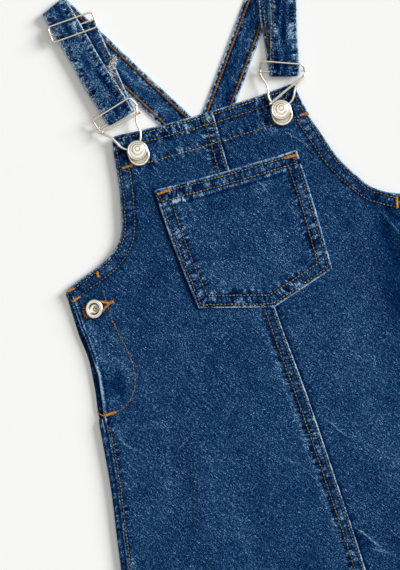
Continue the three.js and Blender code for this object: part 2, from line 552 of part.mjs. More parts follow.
// ---- the dress -------------------------------------------------------------------------------
const DENIM = { color: 0x1c3c66, roughness: 0.92, metalness: 0 };
const DENIM_BACK = { color: 0x1b3960, roughness: 0.92, metalness: 0 };
const DENIM_STRAP = { color: 0x193455, roughness: 0.92, metalness: 0 };
const NICKEL = { color: 0xc9c6bf, roughness: 0.28, metalness: 1 };
const dress = new THREE.Group();
function add(name, geometry, finish) {
  const mesh = new THREE.Mesh(geometry, new THREE.MeshStandardMaterial(finish));
  mesh.name = name;
  dress.add(mesh);
}

add('back', backPanel(), DENIM_BACK);
add('pocket', pocketPatch(), DENIM);
for (const side of ['left', 'right']) {
  const p = PLACKET[side], w = WIRES[side];
  add(`front_${side}`, frontHalf(side), DENIM);
  add(`underlap_${side}`, underlap(side), DENIM_BACK);
  add(`strap_front_${side}`, frontStretch(side), DENIM_STRAP);
  add(`strap_back_${side}`, backStretch(side), DENIM_STRAP);
  add(`slider_${side}`, sliderRing(side), NICKEL);
  add(`buckle_${side}`, buckleFrame(side), NICKEL);
  add(`latch_${side}`, latchBar(side), NICKEL);
  add(`bib_button_${side}`, button(w.button[0], w.button[1], TOP_OF_FRONT + GAP, PLATE_T + GAP), NICKEL);
  add(`side_button_${side}`, button(p.buttonX, -p.buttonDown, UNDERLAP_Z + CLOTH / 2 + GAP, 2.0), NICKEL);
}

export default dress;
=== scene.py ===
import math

import bpy
import numpy as np
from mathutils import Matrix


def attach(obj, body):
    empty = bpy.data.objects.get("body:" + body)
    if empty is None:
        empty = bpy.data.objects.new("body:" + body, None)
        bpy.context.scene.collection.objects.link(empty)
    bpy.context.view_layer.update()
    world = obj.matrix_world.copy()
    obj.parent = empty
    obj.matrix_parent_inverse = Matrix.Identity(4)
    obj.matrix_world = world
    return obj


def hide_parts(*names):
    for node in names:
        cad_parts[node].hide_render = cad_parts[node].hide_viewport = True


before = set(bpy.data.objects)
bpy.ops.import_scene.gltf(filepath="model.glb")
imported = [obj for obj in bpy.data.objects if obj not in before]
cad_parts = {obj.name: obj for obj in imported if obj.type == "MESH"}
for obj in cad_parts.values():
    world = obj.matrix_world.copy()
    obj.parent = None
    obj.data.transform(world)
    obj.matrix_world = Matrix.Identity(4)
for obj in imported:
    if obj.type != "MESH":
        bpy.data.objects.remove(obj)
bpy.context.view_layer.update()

# A child's denim pinafore dress, laid flat on its back on a pale surface. Sizes here are in
# millimetres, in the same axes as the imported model, and every mesh is scaled to metres.


BIB_LINE = 210.0

# ---- camera: straight above, turned as in the photograph ---------------------------------------
WIDE_PX, HIGH_PX = 400, 570
MM_PER_PX = 0.92
TURN = math.radians(17.0)
AWAY = 1.65
scene = bpy.context.scene
camera = bpy.data.objects.new("camera", bpy.data.cameras.new("camera"))
scene.collection.objects.link(camera)
camera.data.sensor_fit = "VERTICAL"
camera.data.sensor_height = 36.0
camera.data.lens = 36.0 * (AWAY - 0.0045) / (HIGH_PX * MM_PER_PX * 0.001)
camera.data.clip_start = 0.05
camera.data.clip_end = 20
camera.location = (-0.0674, 0.0626, AWAY)
camera.rotation_euler = (0, 0, -TURN)
scene.camera = camera
scene.view_settings.view_transform = "Standard"
scene.view_settings.look = "None"
scene.view_settings.exposure = 0.0
scene.view_settings.gamma = 1.0

# ---- small maths ---------------------------------------------------------------------------------


def smooth(a, b, v):
    k = np.clip((np.asarray(v, float) - a) / (b - a), 0, 1)
    return k * k * (3 - 2 * k)


def mix(a, b, k):
    return a + (b - a) * k


def track(rows, column, key="down"):
    """A smooth curve through one column of a table that never overshoots its rows."""
    x = np.array([r[key] for r in rows], float)
    y = np.array([r[column] for r in rows], float)
    d = np.diff(y) / np.diff(x)
    m = np.empty(len(x))
    m[0], m[-1] = d[0], d[-1]
    for i in range(1, len(x) - 1):
        m[i] = 0 if d[i - 1] * d[i] <= 0 else 2 / (1 / d[i - 1] + 1 / d[i])

    def at(v):
        u = np.clip(np.asarray(v, float), x[0], x[-1])
        i = np.clip(np.searchsorted(x, u, side="right") - 1, 0, len(x) - 2)
        h = x[i + 1] - x[i]
        t = (u - x[i]) / h
        t2, t3 = t * t, t * t * t
        return (y[i] * (2 * t3 - 3 * t2 + 1) + h * m[i] * (t3 - 2 * t2 + t)
                + y[i + 1] * (3 * t2 - 2 * t3) + h * m[i + 1] * (t3 - t2))
    return at


def noise1(x, seed):
    table = np.random.RandomState(seed).rand(1024) * 2 - 1
    i = np.floor(x).astype(int)
    f = x - i
    f = f * f * (3 - 2 * f)
    return table[i % 1024] * (1 - f) + table[(i + 1) % 1024] * f


def noise2(x, y, seed):
    table = np.random.RandomState(seed).rand(128, 128) * 2 - 1
    i, j = np.floor(x).astype(int), np.floor(y).astype(int)
    f, g = x - i, y - j
    f, g = f * f * (3 - 2 * f), g * g * (3 - 2 * g)
    a, b = i % 128, (i + 1) % 128
    c, d = j % 128, (j + 1) % 128
    return ((table[a, c] * (1 - f) + table[b, c] * f) * (1 - g)
            + (table[a, d] * (1 - f) + table[b, d] * f) * g)


def line_of(points, step=2.0):
    """Points evenly spaced along a polyline."""
    p = np.asarray(points, float)
    s = np.concatenate([[0], np.cumsum(np.hypot(*np.diff(p[:, :2], axis=0).T))])
    n = max(2, int(round(s[-1] / step)) + 1)
    t = np.linspace(0, s[-1], n)
    return np.stack([np.interp(t, s, p[:, k]) for k in range(p.shape[1])], 1)


def near(line, x, y):
    """Distance from each (x, y) to a polyline, and how far along it the nearest point is."""
    a, b = line[:-1, :2], line[1:, :2]
    ab = b - a
    ll = (ab ** 2).sum(1) + 1e-12
    s0 = np.concatenate([[0], np.cumsum(np.sqrt(ll))])[:-1]
    shape = np.shape(x)
    px, py = np.ravel(x), np.ravel(y)
    dist, along = np.empty(len(px)), np.empty(len(px))
    for k in range(0, len(px), 4096):
        qx, qy = px[k:k + 4096, None], py[k:k + 4096, None]
        t = np.clip(((qx - a[:, 0]) * ab[:, 0] + (qy - a[:, 1]) * ab[:, 1]) / ll, 0, 1)
        e = (a[:, 0] + t * ab[:, 0] - qx) ** 2 + (a[:, 1] + t * ab[:, 1] - qy) ** 2
        j = e.argmin(1)
        r = np.arange(len(j))
        dist[k:k + 4096] = np.sqrt(e[r, j])
        along[k:k + 4096] = s0[j] + t[r, j] * np.sqrt(ll[j])
    return dist.reshape(shape), along.reshape(shape)


def offset_line(line, by):
    """A polyline moved sideways: a positive number moves it to the left of its direction."""
    p = np.asarray(line, float)[:, :2]
    t = np.gradient(p, axis=0)
    t /= np.linalg.norm(t, axis=1)[:, None] + 1e-12
    return p + by * np.stack([-t[:, 1], t[:, 0]], 1)


# ---- the cut: one row for each level of the dress ------------------------------------------------
LEFT = [dict(down=d, edge=e) for d, e in (
    (0, -106), (12, -108.3), (30, -110.6), (45, -113.2), (60, -116.7), (70, -119.2), (79, -122.0),
    (85, -125.0), (90, -129.2), (95, -135.0), (100, -142.5), (104, -151.5), (108, -164.0),
    (112, -176.0), (116, -184.0), (119, -187.0), (127, -184.9), (137, -184.3), (147, -184.0),
    (157, -183.6), (167, -182.3), (175, -181.9), (192, -181.5), (198, -181.2), (210, -182.9),
    (225, -185.2), (234, -186.8),
    (257, -189.0), (278, -191.3), (301, -194.5), (324, -198.5), (351, -203.3), (400, -211.5),
    (480, -225.0), (560, -238.4))]
RIGHT = [dict(down=d, edge=e) for d, e in (
    (0, 70.0), (10, 70.8), (21, 73.2), (31, 75.0), (45, 79.4), (58, 83.2), (67, 86.2), (76, 90.0),
    (86, 95.3), (96, 101.6), (105, 107.6), (112, 116.0), (117, 124.0), (122, 133.2), (126, 143.0),
    (129, 151.5), (132, 157.5), (135, 159.6), (150, 158.0), (175, 156.8), (200, 159.0),
    (225, 163.0), (247, 166.6), (275, 170.8), (300, 175.6), (350, 186.4), (400, 197.6),
    (480, 217.5), (560, 238.4))]
SEAM = [dict(down=d, x=x) for d, x in (
    (0, -9.6), (50, -10.7), (190, -7.4), (281, -2.5), (350, -0.3), (421, 1.5), (560, 2.6))]
BACK = [dict(down=d, left=a, right=b) for d, a, b in (
    (0, -47.4, -4.4), (20, -48.5, -2.8), (35, -51.5, 1.0), (50, -58.0, 8.5), (65, -70.0, 21.5),
    (78, -86.0, 39.0), (90, -108.0, 61.0), (100, -133.0, 84.0), (110, -160.0, 108.0),
    (119, -189.0, 131.0), (127, -188.6, 149.0), (135, -188.7, 162.6), (157, -188.4, 164.0),
    (182, -186.4, 164.6), (209, -188.6, 167.4), (234, -192.6, 171.0), (257, -195.2, 174.2),
    (301, -200.5, 181.8), (351, -209.2, 192.6), (400, -217.4, 203.6), (480, -231.0, 223.4),
    (560, -244.0, 244.0))]
LENGTH, HEM_RISE, HEM_HALF, BACK_DROP = 560.0, 12.0, 244.0, 3.0
RISE = dict(left=7.0, right=5.2, middle=2.6)
CORNER = 5.0
FRONT_Z, BACK_Z, UNDERLAP_Z = 4.6, 0.75, 2.65
PLACKET = dict(
    left=dict(start=121, end=234, closed=243, button=(-166.6, 140)),
    right=dict(start=137, end=249, closed=258, button=(137.6, 155)))
CROTCH = (-25.0, -3.0)

edge_left, edge_right, seam_x = track(LEFT, "edge"), track(RIGHT, "edge"), track(SEAM, "x")
back_left, back_right = track(BACK, "left"), track(BACK, "right")
L0, R0, S0 = float(edge_left(0)), float(edge_right(0)), float(seam_x(0))


def bib_top(x):
    x = np.asarray(x, float)
    left = x < S0
    out = np.where(left, (S0 - x) / (S0 - L0), (x - S0) / (R0 - S0))
    rise = np.where(left, RISE["left"], RISE["right"])
    d = np.clip(CORNER - np.minimum(x - L0, R0 - x), 0, CORNER)
    return mix(RISE["middle"], rise, out * out) - (CORNER - np.sqrt(np.maximum(0, CORNER ** 2 - d * d)))


def hem_rise(x):
    return HEM_RISE * (np.asarray(x) / HEM_HALF) ** 2


def front_y(x, down):
    return (BIB_LINE - down + bib_top(x) * (1 - smooth(0, 45, down))
            + hem_rise(x) * smooth(380, LENGTH, down))


def roof(x):
    return CROTCH[1] - np.where(x < CROTCH[0], 0.60 * (CROTCH[0] - x), 0.78 * (x - CROTCH[0]))


def back_y(x, down):
    room = np.minimum(x - back_left(down), back_right(down) - x)
    return (BIB_LINE - down + roof(x) * (1 - smooth(0, 50, down)) + hem_rise(x) * smooth(380, LENGTH, down)
            - BACK_DROP * smooth(500, LENGTH, down) * smooth(9, 60, room))


def img(px, py):
    """A place on the dress from where it is seen: pixels across and down the photograph."""
    dx, dy = (px - 218) * MM_PER_PX, (py - 112) * MM_PER_PX
    c, s = math.cos(TURN), math.sin(TURN)
    return (dx * c - dy * s - 5.0, BIB_LINE - (dx * s + dy * c))


# Broad soft ridges, as in the solid: middle, half length, half width, turn from the Y axis, height.
FOLDS = [dict(zip(("x", "down", "long", "wide", "turn", "high"), r)) for r in (
    (-126, 420, 105, 20, -9, 2.0), (-62, 350, 90, 22, -3, 1.3), (62, 465, 85, 24, 6, 2.1),
    (128, 395, 110, 20, 10, 1.9), (178, 480, 70, 15, 13, 1.6), (-188, 500, 60, 13, -10, 1.5),
    (96, 190, 55, 11, 8, 1.6), (132, 228, 44, 10, 2, 1.4), (-116, 290, 60, 16, -14, 1.2))]

# Creases: middle, half length, half width, turn, height (a trough is negative), wear and shade: pale on a ridge,
# painted shade in a trough.
CREASES = [dict(zip(("x", "down", "long", "wide", "turn", "high", "wear_and_shade"), r)) for r in (
    (40, 33, 17, 2.4, 42, 0.45, 0.10), (48, 40, 14, 2.0, 50, -0.40, -0.06), (30, 42, 12, 2.2, 38, 0.30, 0.07),
    (-78, 42, 14, 2.0, -20, 0.30, 0.08), (-66, 38, 10, 1.8, 30, -0.30, -0.05), (-92, 36, 10, 1.8, 12, 0.28, 0.08),
    (-156, 258, 8, 1.8, 68, 0.45, 0.22), (-150, 262, 9, 2.4, 66, -0.40, -0.10),
    (-163, 204, 8, 3.4, 20, -0.60, -0.16), (-157, 196, 8, 2.6, 30, 0.35, 0.10), (-166, 222, 7, 3.0, -30, -0.45, -0.12),
    (-160, 170, 12, 3.2, 10, 0.30, 0.08), (-168, 158, 9, 2.6, -14, -0.35, -0.08),
    (20, 430, 16, 2.0, 60, 0.40, 0.16), (34, 426, 13, 3.6, 48, -0.65, -0.14), (26, 418, 12, 2.0, 74, 0.32, 0.10),
    (27, 322, 7, 1.6, 64, 0.28, 0.12), (-4, 352, 8, 1.6, 62, 0.26, 0.11),
    (112, 150, 34, 6.0, 4, -0.9, -0.12), (122, 205, 40, 6.5, -2, -1.1, -0.14), (104, 176, 30, 3.4, 8, 0.5, 0.07),
    (96, 118, 15, 3.4, 40, 0.35, 0.05), (-128, 120, 18, 3.0, -62, 0.30, 0.06), (-110, 135, 16, 3.2, -56, -0.30, -0.05),
    (-146, 300, 34, 4.2, -16, 0.35, 0.06), (-132, 330, 40, 4.6, -10, -0.40, -0.06), (-98, 395, 46, 5.2, -5, 0.40, 0.05),
    (-40, 410, 40, 5.0, 3, -0.35, -0.05), (58, 360, 44, 4.8, 8, 0.35, 0.05), (84, 300, 36, 4.4, 11, -0.35, -0.05),
    (118, 340, 40, 5.0, 14, 0.40, 0.06), (150, 420, 44, 5.2, 16, -0.45, -0.06), (-176, 440, 40, 4.4, -13, 0.40, 0.06),
    (-80, 500, 44, 6.0, -6, 0.5, 0.05), (30, 520, 36, 5.0, 5, -0.45, -0.05), (106, 500, 40, 5.6, 9, 0.5, 0.05),
    (200, 515, 32, 4.4, 14, -0.45, -0.05), (-206, 535, 24, 4.0, -12, -0.4, -0.05), (-20, 250, 18, 3.0, 70, 0.25, 0.05),
    (64, 236, 20, 3.0, -52, 0.28, 0.06), (-60, 226, 22, 3.0, 60, -0.25, -0.05), (20, 205, 14, 2.6, 80, 0.22, 0.05))]


def ridges(rows, x, down):
    z, w = np.zeros(np.shape(x)), np.zeros(np.shape(x))
    for f in rows:
        a = math.radians(f["turn"])
        dx, dy = x - f["x"], -(down - f["down"])
        along, across = -dx * math.sin(a) + dy * math.cos(a), dx * math.cos(a) + dy * math.sin(a)
        bend = 0.10 * np.sin(along / f["long"] * 2.1 + f["x"]) * f["long"] * 0.25 if "wear_and_shade" in f else 0
        g = np.exp(-(along / f["long"]) ** 2 - ((across - bend) / f["wide"]) ** 2)
        z += f["high"] * g
        w += f.get("wear_and_shade", 0) * g
    return z, w


def front_mid(x, y):
    """Middle of the front's wall with its broad ridges, as in the solid."""
    down = BIB_LINE - y
    keep = smooth(6, 34, np.minimum(x - edge_left(down), edge_right(down) - x))
    return FRONT_Z + ridges(FOLDS, x, down)[0] * keep


# Fine creases and rubbed lines, each as seen: pixels across and down at its ends, how far it bows, its width and
# height, and how pale it is; a negative paleness is painted shade in a trough.
MARKS = [dict(zip(("x0", "y0", "x1", "y1", "bow", "wide", "high", "pale"), r)) for r in (
    (284, 131, 311, 149, 0.8, 0.9, 0.28, 0.30), (288, 128, 304, 138, -0.5, 0.8, 0.20, 0.20), (296, 141, 314, 156, 0.4, 1.2, -0.30, -0.16),
    (307, 154, 324, 166, 0.5, 1.0, 0.20, 0.16), (330, 173, 344, 188, 0.6, 0.9, 0.18, 0.14), (322, 186, 336, 199, 0.3, 1.0, 0.14, 0.10),
    (380, 204, 399, 232, -2.4, 1.3, 0.40, 0.34), (384, 203, 400, 221, -1.0, 2.4, -0.5, -0.24), (366, 200, 380, 206, 0.4, 1.0, 0.16, 0.14),
    (320, 418, 346, 436, 1.2, 0.8, 0.30, 0.30), (324, 424, 345, 439, 1.2, 1.4, -0.25, -0.14), (349, 436, 392, 460, 0.8, 0.9, 0.16, 0.15),
    (282, 457, 306, 470, 0.8, 0.9, 0.20, 0.22), (383, 471, 399, 481, 0.3, 0.8, 0.16, 0.20), (296, 510, 311, 519, 0.4, 0.8, 0.16, 0.18),
    (349, 523, 383, 550, 1.0, 0.8, 0.34, 0.50), (352, 532, 372, 551, 0.3, 3.6, -0.35, -0.22), (340, 486, 352, 495, 0.4, 0.8, 0.12, 0.12),
    (120, 436, 137, 451, -2.6, 1.0, 0.35, 0.36), (122, 443, 131, 451, -1.0, 1.8, -0.3, -0.14), (126, 461, 137, 471, -1.0, 0.9, 0.16, 0.18),
    (124, 483, 131, 490, 0.4, 1.0, 0.14, 0.18), (190, 538, 203, 545, 0.4, 0.8, 0.12, 0.16), (240, 392, 254, 401, 0.4, 0.7, 0.10, 0.12),
    (146, 158, 158, 172, 0.3, 0.8, 0.14, 0.22), (153, 156, 162, 168, -0.4, 0.8, 0.12, 0.18), (163, 160, 171, 176, 0.4, 1.0, 0.12, 0.16),
    (176, 148, 188, 160, 0.4, 0.8, 0.12, 0.16), (230, 146, 236, 156, 0.3, 0.7, 0.10, 0.16), (141, 176, 147, 190, 0.5, 1.0, 0.12, 0.14),
    (345, 300, 368, 316, 0.6, 0.7, 0.10, 0.11), (312, 330, 332, 342, 0.6, 0.7, 0.10, 0.11), (352, 352, 380, 369, 0.6, 0.7, 0.12, 0.13),
    (375, 378, 398, 391, 0.5, 0.7, 0.10, 0.12), (196, 362, 214, 371, 0.4, 0.7, 0.08, 0.10), (170, 318, 181, 327, 0.4, 0.7, 0.08, 0.12),
    (150, 420, 168, 431, 0.4, 0.7, 0.08, 0.09), (214, 468, 234, 479, 0.4, 0.7, 0.08, 0.10), (255, 312, 262, 322, 0.3, 0.9, 0.10, 0.20),
    (137, 311, 153, 322, 0.5, 0.7, 0.08, 0.12), (330, 378, 346, 390, 0.5, 0.7, 0.08, 0.11), (304, 352, 318, 361, 0.3, 0.7, 0.08, 0.10))]
POCKET_MARKS = [dict(zip(("x0", "y0", "x1", "y1", "bow", "wide", "high", "pale"), r)) for r in (
    (252, 177, 266, 191, 0.6, 1.0, 0.25, 0.34), (257, 176, 267, 186, -0.4, 0.8, 0.18, 0.20), (230, 205, 243, 215, 0.4, 0.8, 0.12, 0.16),
    (198, 199, 207, 212, 0.4, 0.8, 0.12, 0.20), (286, 203, 300, 218, 0.4, 0.8, 0.12, 0.18), (216, 243, 224, 252, 0.3, 0.8, 0.10, 0.14),
    (255, 288, 263, 296, 0.3, 0.8, 0.10, 0.22), (186, 202, 196, 226, 1.0, 1.6, 0.14, 0.14), (271, 232, 283, 242, 0.4, 0.7, 0.10, 0.12),
    (308, 254, 317, 248, 0.3, 1.6, 0.20, 0.26), (204, 262, 214, 276, 0.5, 0.8, 0.12, 0.16), (240, 270, 252, 280, 0.4, 0.7, 0.10, 0.14),
    (212, 190, 220, 199, 0.3, 0.8, 0.10, 0.18), (235, 184, 244, 194, 0.3, 0.7, 0.10, 0.14), (293, 240, 300, 250, 0.3, 0.7, 0.10, 0.14))]
POCKET_PATCHES = [dict(zip(("x", "y", "long", "wide", "turn", "pale"), r)) for r in (
    (222, 278, 8, 14, 0, 0.07), (206, 268, 10, 6, 10, 0.05), (238, 282, 7, 9, 0, 0.07), (254, 278, 8, 8, 0, 0.07), (300, 252, 7, 7, 0, 0.08),
    (250, 235, 26, 24, 0, 0.04), (258, 190, 5, 16, -8, 0.05), (205, 220, 24, 4, 14, 0.08), (303, 262, 7, 6, 0, -0.14), (236, 196, 4, 18, -10, -0.12),
    (284, 200, 5, 14, -10, -0.08), (212, 245, 20, 6, 10, -0.04), (275, 262, 14, 8, 0, 0.07), (312, 238, 9, 3, 12, -0.10))]
# Soft rubbed and darker places, among them painted shade along the deep fold beside the right side opening: pixels
# across and down, half sizes in millimetres, turn, paleness.
PATCHES = [dict(zip(("x", "y", "long", "wide", "turn", "pale"), r)) for r in (
    (97, 345, 16, 5.5, 18, 0.15), (106, 356, 13, 6.0, 18, 0.12), (120, 368, 11, 5.0, 14, 0.11), (116, 384, 7.5, 9.5, 4, -0.24),
    (103, 350, 5.0, 4.5, 0, -0.15), (128, 378, 8.0, 3.5, 4, 0.14), (101, 392, 14, 3.0, 10, 0.14), (113, 401, 5, 7.0, 10, 0.10),
    (88, 326, 9, 3.5, 28, 0.12), (125, 184, 12, 4.5, 8, 0.15), (107, 270, 7, 11, -30, 0.12), (131, 262, 14, 3.5, 12, 0.07),
    (393, 258, 40, 9.0, 8, -0.24), (398, 300, 40, 10, 8, -0.30), (388, 222, 14, 6.0, 20, -0.16), (377, 268, 26, 5.0, 10, 0.06),
    (300, 122, 8, 5.0, -30, 0.09), (316, 160, 24, 4.0, 28, 0.06), (255, 320, 7, 4.5, 10, 0.11), (118, 432, 10, 4.0, 12, 0.12),
    (279, 370, 22, 3.2, 17, 0.14), (292, 405, 22, 3.4, 17, 0.17), (306, 446, 20, 3.4, 17, 0.15), (320, 486, 22, 3.2, 17, 0.16),
    (334, 522, 22, 3.4, 17, 0.13), (270, 342, 9, 3.0, 17, 0.12), (131, 300, 30, 22, 0, -0.05), (230, 420, 60, 40, 0, -0.02),
    (340, 370, 50, 36, 0, 0.03), (180, 480, 50, 36, 0, 0.02), (150, 240, 40, 14, 10, -0.05))]


def marks(x, y, lines=None, places=None):
    z, w = np.zeros(np.shape(x)), np.zeros(np.shape(x))
    for k, m in enumerate(MARKS if lines is None else lines):
        a, b = np.array(img(m["x0"], m["y0"])), np.array(img(m["x1"], m["y1"]))
        t = (b - a) / np.linalg.norm(b - a)
        half = np.linalg.norm(b - a) / 2
        u = (x - (a + b)[0] / 2) * t[0] + (y - (a + b)[1] / 2) * t[1]
        v = -(x - (a + b)[0] / 2) * t[1] + (y - (a + b)[1] / 2) * t[0]
        v = v - m["bow"] * (1 - (u / half) ** 2) - 0.35 * np.sin(u / 3.1 + k)
        g = np.exp(-(v / m["wide"]) ** 2) * (1 - smooth(0.55 * half, half + 2, np.abs(u)))
        z += m["high"] * g
        w += 0.85 * m["pale"] * g
    for m in PATCHES if places is None else places:
        cx, cy = img(m["x"], m["y"])
        a = math.radians(m["turn"] - 17)
        u = (x - cx) * math.sin(a) + (y - cy) * math.cos(a)
        v = (x - cx) * math.cos(a) - (y - cy) * math.sin(a)
        w += 0.75 * m["pale"] * np.exp(-(u / m["long"]) ** 2 - (v / m["wide"]) ** 2)
    return z, w


def pocket_marks(x, y):
    return marks(x, y, POCKET_MARKS, POCKET_PATCHES)


# ---- meshes --------------------------------------------------------------------------------------
PIECES = {}


def make_mesh(name, points, faces, material, data=None, smooth_faces=True):
    mesh = bpy.data.meshes.new(name)
    mesh.from_pydata((np.asarray(points) * 0.001).tolist(), [], faces)
    for key, values in (data or {}).items():
        values = np.asarray(values, np.float32)
        kind = "FLOAT_VECTOR" if values.ndim == 2 else "FLOAT"
        layer = mesh.attributes.new(key, kind, "POINT")
        layer.data.foreach_set("vector" if values.ndim == 2 else "value", values.ravel())
    mesh.polygons.foreach_set("use_smooth", [smooth_faces] * len(mesh.polygons))
    mesh.materials.append(material)
    mesh.update()
    piece = bpy.data.objects.new(name, mesh)
    scene.collection.objects.link(piece)
    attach(piece, "root")
    PIECES[name] = piece
    return piece


def coarse(n):
    """Every sixth place of n, with the border and a place near it."""
    return np.array(sorted({0, 3, n - 4, n - 1} | set(range(8, n - 8, 6))))


def shell(name, fine, hidden, material, data, sparse=True):
    """A closed shell from two grids, rows x cols x 3, that share their border. The hidden side
    may be sparse: its border cells then take in every point of the fine border."""
    rows, cols = fine.shape[:2]
    grid = np.arange(rows * cols).reshape(rows, cols)
    faces = np.stack([grid[:-1, :-1], grid[1:, :-1], grid[1:, 1:], grid[:-1, 1:]], -1).reshape(-1, 4)
    d = fine[rows // 2, cols // 2] - hidden[rows // 2, cols // 2]
    n = np.cross(fine[rows // 2 + 1, cols // 2] - fine[rows // 2, cols // 2],
                 fine[rows // 2, cols // 2 + 1] - fine[rows // 2, cols // 2])
    flip = np.dot(n, d) < 0
    ri = coarse(rows) if sparse else np.arange(rows)
    ci = coarse(cols) if sparse else np.arange(cols)
    other = np.full((rows, cols), -1)
    inner = np.ix_(ri[1:-1], ci[1:-1])
    count = (len(ri) - 2) * (len(ci) - 2)
    other[inner] = rows * cols + np.arange(count).reshape(len(ri) - 2, len(ci) - 2)
    other[0], other[-1], other[:, 0], other[:, -1] = grid[0], grid[-1], grid[:, 0], grid[:, -1]
    polygons = []
    for i in range(len(ri) - 1):
        r0, r1 = ri[i], ri[i + 1]
        for j in range(len(ci) - 1):
            c0, c1 = ci[j], ci[j + 1]
            ring = [other[r0, c0]]
            if r0 == 0:
                ring += list(other[0, c0 + 1:c1])
            ring.append(other[r0, c1])
            if c1 == cols - 1:
                ring += list(other[r0 + 1:r1, c1])
            ring.append(other[r1, c1])
            if r1 == rows - 1:
                ring += list(other[r1, c0 + 1:c1][::-1])
            ring.append(other[r1, c0])
            if c0 == 0:
                ring += list(other[r0 + 1:r1, 0][::-1])
            polygons.append([int(v) for v in ring])
    faces = (faces[:, ::-1] if flip else faces).tolist()
    faces += [q[::-1] for q in polygons] if flip else polygons
    points = np.concatenate([fine.reshape(-1, 3), hidden[inner].reshape(-1, 3)])
    full = {}
    for key, v in data.items():
        v = np.asarray(v)
        full[key] = np.concatenate([v.reshape(rows * cols, *v.shape[2:]), v[inner].reshape(-1, *v.shape[2:])])
    return make_mesh(name, points, faces, material, full)


FINE = [0, 0.35, 0.8, 1.4, 2.0, 2.6, 3.2, 3.9, 4.8, 5.8, 6.8, 7.8, 8.7, 9.6, 10.4, 11.2, 12.0, 12.9, 14.2]


def spread(width, middle):
    """Column places across a width: fine near both edges, even between them."""
    f = np.array(FINE)
    k = min(1.0, 0.42 * width / f[-1])
    f = f * k
    return np.concatenate([f, np.linspace(f[-1], width - f[-1], middle + 2)[1:-1], (width - f)[::-1]])


# ---- materials -----------------------------------------------------------------------------------


def linear(r, g, b):
    def one(c):
        c /= 255.0
        return c / 12.92 if c <= 0.04045 else ((c + 0.055) / 1.055) ** 2.4
    return (one(r), one(g), one(b), 1.0)


class Nodes:
    def __init__(self, name):
        self.material = bpy.data.materials.new(name)
        self.material.use_nodes = True
        self.tree = self.material.node_tree
        self.shader = self.tree.nodes["Principled BSDF"]

    def add(self, kind, **settings):
        node = self.tree.nodes.new(kind)
        for key, value in settings.items():
            setattr(node, key, value)
        return node

    def link(self, a, b):
        self.tree.links.new(a, b)

    def math(self, operation, a, b=None, c=None):
        node = self.add("ShaderNodeMath", operation=operation)
        for socket, value in zip(node.inputs, (a, b, c)):
            if value is None:
                continue
            if isinstance(value, (int, float)):
                socket.default_value = value
            else:
                self.link(value, socket)
        return node.outputs[0]

    def mapped(self, vector, scale, turn=0.0, shift=(0, 0, 0)):
        node = self.add("ShaderNodeMapping", vector_type="TEXTURE")
        node.inputs["Location"].default_value = shift
        node.inputs["Rotation"].default_value = (0, 0, turn)
        node.inputs["Scale"].default_value = tuple(1.0 / k for k in scale)
        self.link(vector, node.inputs["Vector"])
        return node.outputs[0]

    def noise(self, vector, scale, detail=2.0, rough=0.5, distortion=0.0):
        node = self.add("ShaderNodeTexNoise", noise_dimensions="3D")
        node.inputs["Scale"].default_value = scale
        node.inputs["Detail"].default_value = detail
        node.inputs["Roughness"].default_value = rough
        node.inputs["Distortion"].default_value = distortion
        self.link(vector, node.inputs["Vector"])
        return node.outputs["Fac"]

    def attribute(self, name):
        return self.add("ShaderNodeAttribute", attribute_type="GEOMETRY", attribute_name=name)


DENIM_RAMP = (
    (0.00, (0, 14, 46)), (0.20, (2, 28, 66)), (0.38, (9, 44, 84)), (0.50, (19, 57, 98)),
    (0.62, (34, 73, 114)), (0.76, (57, 97, 138)), (0.89, (100, 140, 178)), (1.00, (160, 190, 215)))


